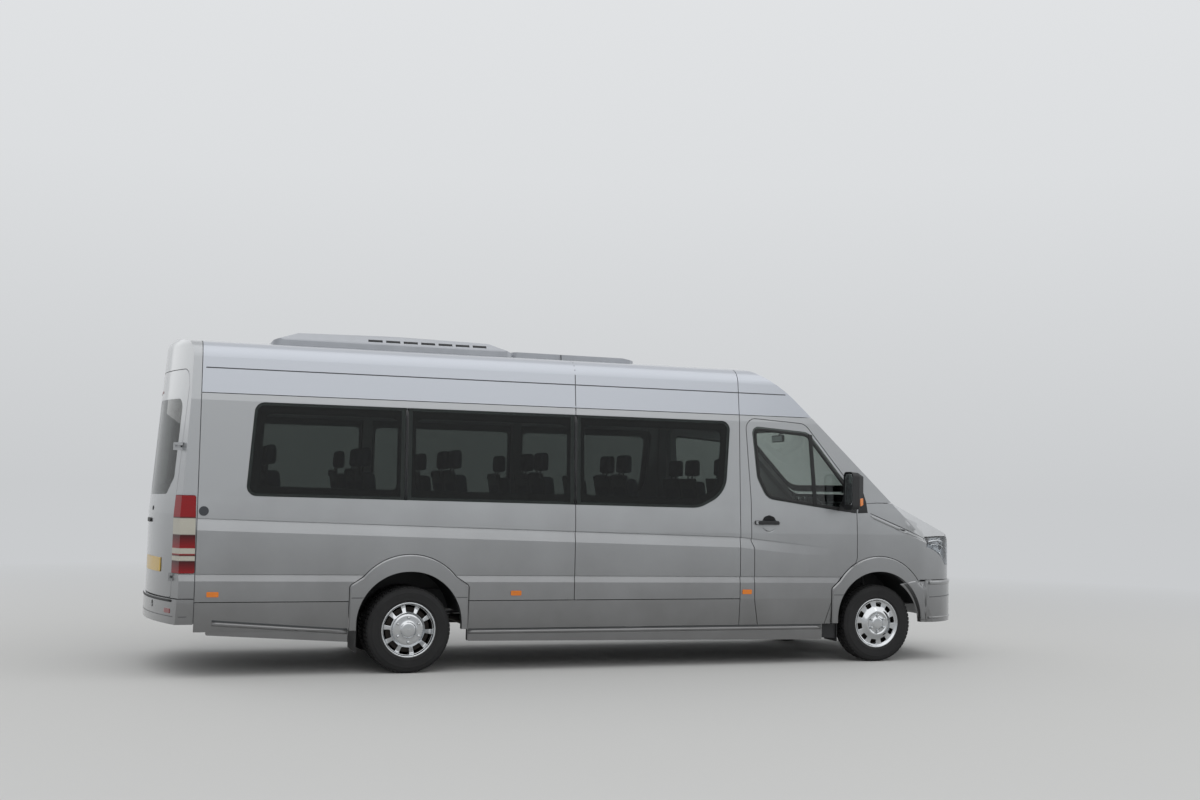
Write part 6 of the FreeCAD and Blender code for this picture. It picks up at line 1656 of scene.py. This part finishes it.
STRIPS = (([(3204, 1092), (3330, 1104), (3400, 1084)], 15),
          ([(3222, 1062), (3330, 1066), (3410, 1034)], 10), ([(3338, 992), (3400, 918)], 18))
cover = skin_of("headlamps")
for side, hand in SIDES:
    lamp_bowl(f"headlamp_bowl_{hand}", side)
    for kind, (y, z, depth_mm, toe_out, radius) in LAMPS.items():
        place = behind_cover(cover, side * y, z, depth_mm)
        round_lamp(f"{kind}_lamp_{hand}", place, (1, side * toe_out, 0), radius)
    for n, (line, width) in enumerate(STRIPS):
        laid_strip(f"lamp_strip_{hand}_{n + 1}", line, width, 4, on_side(cover, side), metallised, pitch=25)
print("headlamps fitted")

# %% [markdown]
# ## Windscreen
#
# The windscreen's ceramic border is printed on its inner face. Two wipers rest at its foot, their blades
# just off the glass, and an interior mirror hangs from it.

# %% Border, wipers and mirror
SCREEN = [(-846, 1536, 60), (846, 1536, 60), (772, 2183, 70), (-772, 2183, 70)]
SCREEN_CLEAR = [(-772, 1600, 70), (772, 1600, 70), (700, 2112, 80), (-700, 2112, 80)]
screen_skin = skin_of("windscreen")
CAB_X = 1.2
printed_border("windscreen_border", rounded(SCREEN), rounded(SCREEN_CLEAR),
               lay_along(screen_skin, CAB_X, 1, PRINT_LIFT_MM))
WIPERS = (((60, 1530), (-90, 1566), (-650, 1592)), ((700, 1548), (580, 1566), (60, 1590)))
for n, (pivot, near, far) in enumerate(WIPERS):
    blade_lay = lay_along(screen_skin, AHEAD_X, -1, 7.0)
    arm_lay = lay_along(screen_skin, AHEAD_X, -1, 24.0)
    blade = [blade_lay(Vector(near).lerp(Vector(far), k / 12)) for k in range(13)]
    middle = Vector(near).lerp(Vector(far), 0.5)
    arm = [arm_lay(Vector(pivot).lerp(middle, k / 8)) for k in range(8)]
    parts = [tube("blade", blade, 6, seal_rubber, None, 6), tube("arm", arm, 8, black_plastic, None, 8)]
    joined(f"wiper_{n + 1}", parts, black_plastic)
prism("interior_mirror", [(2118, 2006), (2112, 2068), (2128, 2074), (2140, 2064), (2142, 2014),
                          (2130, 2004)], -112, 112, black_plastic, "chassis", 5)
prism("interior_mirror_glass", [(2111, 2012), (2107, 2062), (2110, 2062), (2114, 2012)], -104, 104,
      mirror_glass)
tube("interior_mirror_stem", [(2.130, 0, 2.070), (2.150, 0, 2.085), (2.168, 0, 2.092)], 8, black_plastic)
print("windscreen dressed")

# %% [markdown]
# ## Sliding door on the left
#
# The sliding door hangs on three rails. The middle one is a slot in the panel behind the door with a
# cover strip, and the door has a handle near its front edge.

# %% Rail and handle
RAIL_LINE = [(-330, 1196), (-1560, 1196)]
left_skin = skin_of("side_panels", "sliding_door")
lay_left = on_side(left_skin, 1)
laid_strip("slider_rail_cover", RAIL_LINE, 46, 7, lay_left, silver_paint, rows=6)
laid_strip("slider_rail_slot", [(x, z - 27) for x, z in RAIL_LINE], 9, 1.0, lay_left, black_plastic)
SLIDER_GRIP = [(1020, 1228, 14), (1020, 1262, 14), (1210, 1260, 14), (1210, 1230, 14)]
laid_patch("slider_grip", rounded(SLIDER_GRIP), lay_outside(left_skin, 1, 9.0), black_plastic, "chassis",
           18.0, edge_mm=5)
print("sliding door dressed")

# %% [markdown]
# ## Driver's place
#
# The instrument hood, two dials with bare faces, vents, a switch panel, the gear lever, the pedals and the
# steering wheel. The wheel's padded rim is a closed tube, and its hub is a dished cover on three spokes.

# %% Dashboard pieces
DRIVER_Y = -440
prism("instrument_hood", [(2128, 1398), (2136, 1462), (2158, 1482), (2226, 1478), (2300, 1428),
                          (2300, 1404)], DRIVER_Y - 150, DRIVER_Y + 150, grey_plastic, "chassis", 14)
# Screen-printed film: black and matt. The faces stay bare.
dial_face = moulded("matt_black_dial_face", "#131416", roughness=0.5, depth_mm=0.0)
DIAL_APART, DIAL_X, DIAL_Z, DIAL_WAY = 62, 2133, 1438, (-1, 0, 0.22)
DIAL_RING = [(0, 50), (5, 50), (6, 46), (3, 44), (0, 44)]
DIAL_FACE = [(1, 46), (1.5, 20), (1.5, 0)]
for n, y in enumerate((DRIVER_Y - DIAL_APART, DRIVER_Y + DIAL_APART)):
    facing(f"dial_ring_{n + 1}", DIAL_RING, chrome, (DIAL_X, y, DIAL_Z), DIAL_WAY)
    facing(f"dial_face_{n + 1}", DIAL_FACE, dial_face, (DIAL_X, y, DIAL_Z), DIAL_WAY, closed=False)
VENTS = (-790, -190, 190, 790)
for n, y in enumerate(VENTS):
    prism(f"vent_frame_{n + 1}", [(2012, 1290), (2006, 1376), (2040, 1392), (2052, 1296)], y - 62, y + 62,
          black_plastic, "chassis", 8)
    vane = prism("vane", [(2002, 1300), (2002, 1305), (2016, 1311), (2016, 1306)], y - 52, y + 52,
                 grey_plastic, None, 1)
    copied(f"vent_vanes_{n + 1}", vane, 5, grey_plastic, step=(0, 0, 0.0145))
prism("switch_panel", [(2018, 1200), (2004, 1340), (2030, 1346), (2044, 1204)], -110, 110, gloss_black,
      "chassis", 6)
tube("gear_lever", [(2.06, -0.02, 1.16), (2.03, -0.02, 1.23), (2.01, -0.02, 1.275)], 9, black_plastic)
KNOB = [(-26, 0), (-24, 14), (-12, 22), (4, 24), (16, 18), (22, 8), (23, 0)]
facing("gear_knob", KNOB, black_plastic, (2004, -20, 1292), (-0.3, 0, 1), steps=24, closed=False)
PEDALS = (-520, -440, -350)
for n, y in enumerate(PEDALS):
    prism(f"pedal_{n + 1}", [(2150, 770), (2136, 850), (2150, 856), (2168, 776)], y - 34, y + 34,
          seal_rubber, "chassis", 4)
    tube(f"pedal_arm_{n + 1}", [(2.160, y * MM, 0.82), (2.200, y * MM, 0.92), (2.260, y * MM, 1.04)], 7,
         black_frame)
print("dashboard dressed")

# %% Steering wheel
WHEEL_PLACE = Vector((1928.5, DRIVER_Y, 1335))
wheel_joint = next(joint for joint in frame["joints"] if joint["child"] == "steering_wheel")
column = Vector(wheel_joint["axis"]).normalized()
side_way = Vector((0, 1, 0))
up_way = side_way.cross(column) * -1


def on_wheel(radius, degrees, lift):
    """A place on the steering wheel: distance and turn about the column, and lift along it, in mm."""
    turn = math.radians(degrees)
    flat = side_way * math.cos(turn) + up_way * math.sin(turn)
    return (WHEEL_PLACE + flat * radius + column * lift) * MM


RIM_RADIUS, RIM_THICK, RIM_STEPS = 184, 15, 64
circle = [on_wheel(RIM_RADIUS, 360 * k / RIM_STEPS, 0) for k in range(RIM_STEPS)]
rim = tube("steering_rim", circle, RIM_THICK, black_plastic, "steering_wheel", 14, closed=True)
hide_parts("steering_wheel")
SPOKE_ROUTE = ((172, 0), (120, -4), (60, -10), (20, -12))
for n, degrees in enumerate((0, 180, 90)):
    route = [on_wheel(radius, degrees, drop) for radius, drop in SPOKE_ROUTE]
    tube(f"steering_spoke_{n + 1}", route, 13, grey_plastic, "steering_wheel", 12)
HUB = [(-20, 0), (-20, 62), (-10, 70), (6, 66), (14, 50), (18, 20), (18.5, 0)]
facing("steering_hub", HUB, black_plastic, WHEEL_PLACE, column, "steering_wheel", closed=False)
print("steering wheel made")

# %% [markdown]
# ## Floor and light
#
# A plain pale floor and soft lamps, as in a photographer's studio. Near the vehicle the floor is a matt
# sheet that keeps the shadow. Further out it fades to the colour of the backdrop for the rays that come
# from the camera, from gloss and through glass, so that no horizon line shows. A large lamp above and
# before the right-hand side stands for the open sky, and weaker ones fill from the front and the rear.

# %% Floor, world and lamps
FLOOR_HALF = 150.0
FADE_FROM, FADE_TO = 5.0, 16.0
HORIZON, HAZE, OVERHEAD = "#C9CBCD", "#DCDEE0", "#F4F5F7"
AMBIENT_STRENGTH = 0.62


def seen_directly(tree):
    """1 for camera, glossy and transmission rays, 0 for the rays that carry light."""
    path = add_node(tree, "ShaderNodeLightPath")
    first = add_node(tree, "ShaderNodeMath", {"operation": "MAXIMUM"},
                     {0: path.outputs["Is Camera Ray"], 1: path.outputs["Is Glossy Ray"]})
    return add_node(tree, "ShaderNodeMath", {"operation": "MAXIMUM"},
                    {0: first.outputs[0], 1: path.outputs["Is Transmission Ray"]}).outputs[0]


def floor_material():
    """A matt pale sheet that fades to the backdrop with distance from the vehicle."""
    material, tree = new_material("pale_studio_floor")
    near = add_node(tree, "ShaderNodeBsdfPrincipled", {"Base Color": colour("#CFCFCD"), "Roughness": 0.8})
    far = add_node(tree, "ShaderNodeEmission", {"Color": colour(HORIZON), "Strength": 1.0})
    place = add_node(tree, "ShaderNodeTexCoord")
    reach = add_node(tree, "ShaderNodeVectorMath", {"operation": "LENGTH"},
                     {0: place.outputs["Object"]}).outputs["Value"]
    faded = span(tree, reach, FADE_FROM, FADE_TO, 0, 1)
    share = add_node(tree, "ShaderNodeMath", {"operation": "MULTIPLY"}, {0: faded, 1: seen_directly(tree)})
    both = add_node(tree, "ShaderNodeMixShader", links={0: share.outputs[0], 1: near.outputs[0],
                                                        2: far.outputs[0]})
    return finish_material(material, tree, both)


floor_mesh = bpy.data.meshes.new("studio_floor")
corners = [(a * FLOOR_HALF, b * FLOOR_HALF, 0) for a, b in ((-1, -1), (1, -1), (1, 1), (-1, 1))]
floor_mesh.from_pydata(corners, [], [(0, 1, 2, 3)])
floor = bpy.data.objects.new("studio_floor", floor_mesh)
floor.data.materials.append(floor_material())
bpy.context.scene.collection.objects.link(floor)

world = bpy.data.worlds.new("studio")
bpy.context.scene.world = world
world.use_nodes = True
studio = world.node_tree
studio.nodes.clear()
sky_place = add_node(studio, "ShaderNodeTexCoord")
sky_up = add_node(studio, "ShaderNodeSeparateXYZ",
                  links={"Vector": sky_place.outputs["Generated"]}).outputs["Z"]
sky = ramp(studio, span(studio, sky_up, 0.0, 0.9, 0, 1), [(0.0, HORIZON), (0.25, HAZE), (1.0, OVERHEAD)])
lit = add_node(studio, "ShaderNodeBackground", {"Strength": AMBIENT_STRENGTH},
               {"Color": sky.outputs["Color"]})
seen = add_node(studio, "ShaderNodeBackground", {"Strength": 1.0}, {"Color": sky.outputs["Color"]})
sky_mix = add_node(studio, "ShaderNodeMixShader", links={0: seen_directly(studio), 1: lit.outputs[0],
                                                         2: seen.outputs[0]})
add_node(studio, "ShaderNodeOutputWorld", links={"Surface": sky_mix.outputs[0]})


def soft_lamp(name, place, target, size, watts):
    """A square area lamp at place that points at target. Its size is in metres."""
    data = bpy.data.lights.new(name, "AREA")
    data.shape, data.size, data.energy = "SQUARE", size, watts
    lamp = bpy.data.objects.new(name, data)
    bpy.context.scene.collection.objects.link(lamp)
    lamp.location = place
    lamp.rotation_mode = "QUATERNION"
    lamp.rotation_quaternion = (Vector(target) - Vector(place)).to_track_quat("-Z", "Y")


soft_lamp("sky_lamp", (-1.0, -10.0, 15.0), (0, 0, 1.0), 27.0, 1500)
soft_lamp("front_fill", (13.0, -5.0, 7.0), (2, 0, 1.0), 12.0, 260)
soft_lamp("rear_fill", (-11.0, 8.0, 9.0), (0, 0, 1.2), 13.0, 300)
bpy.context.scene.view_settings.view_transform = "Standard"
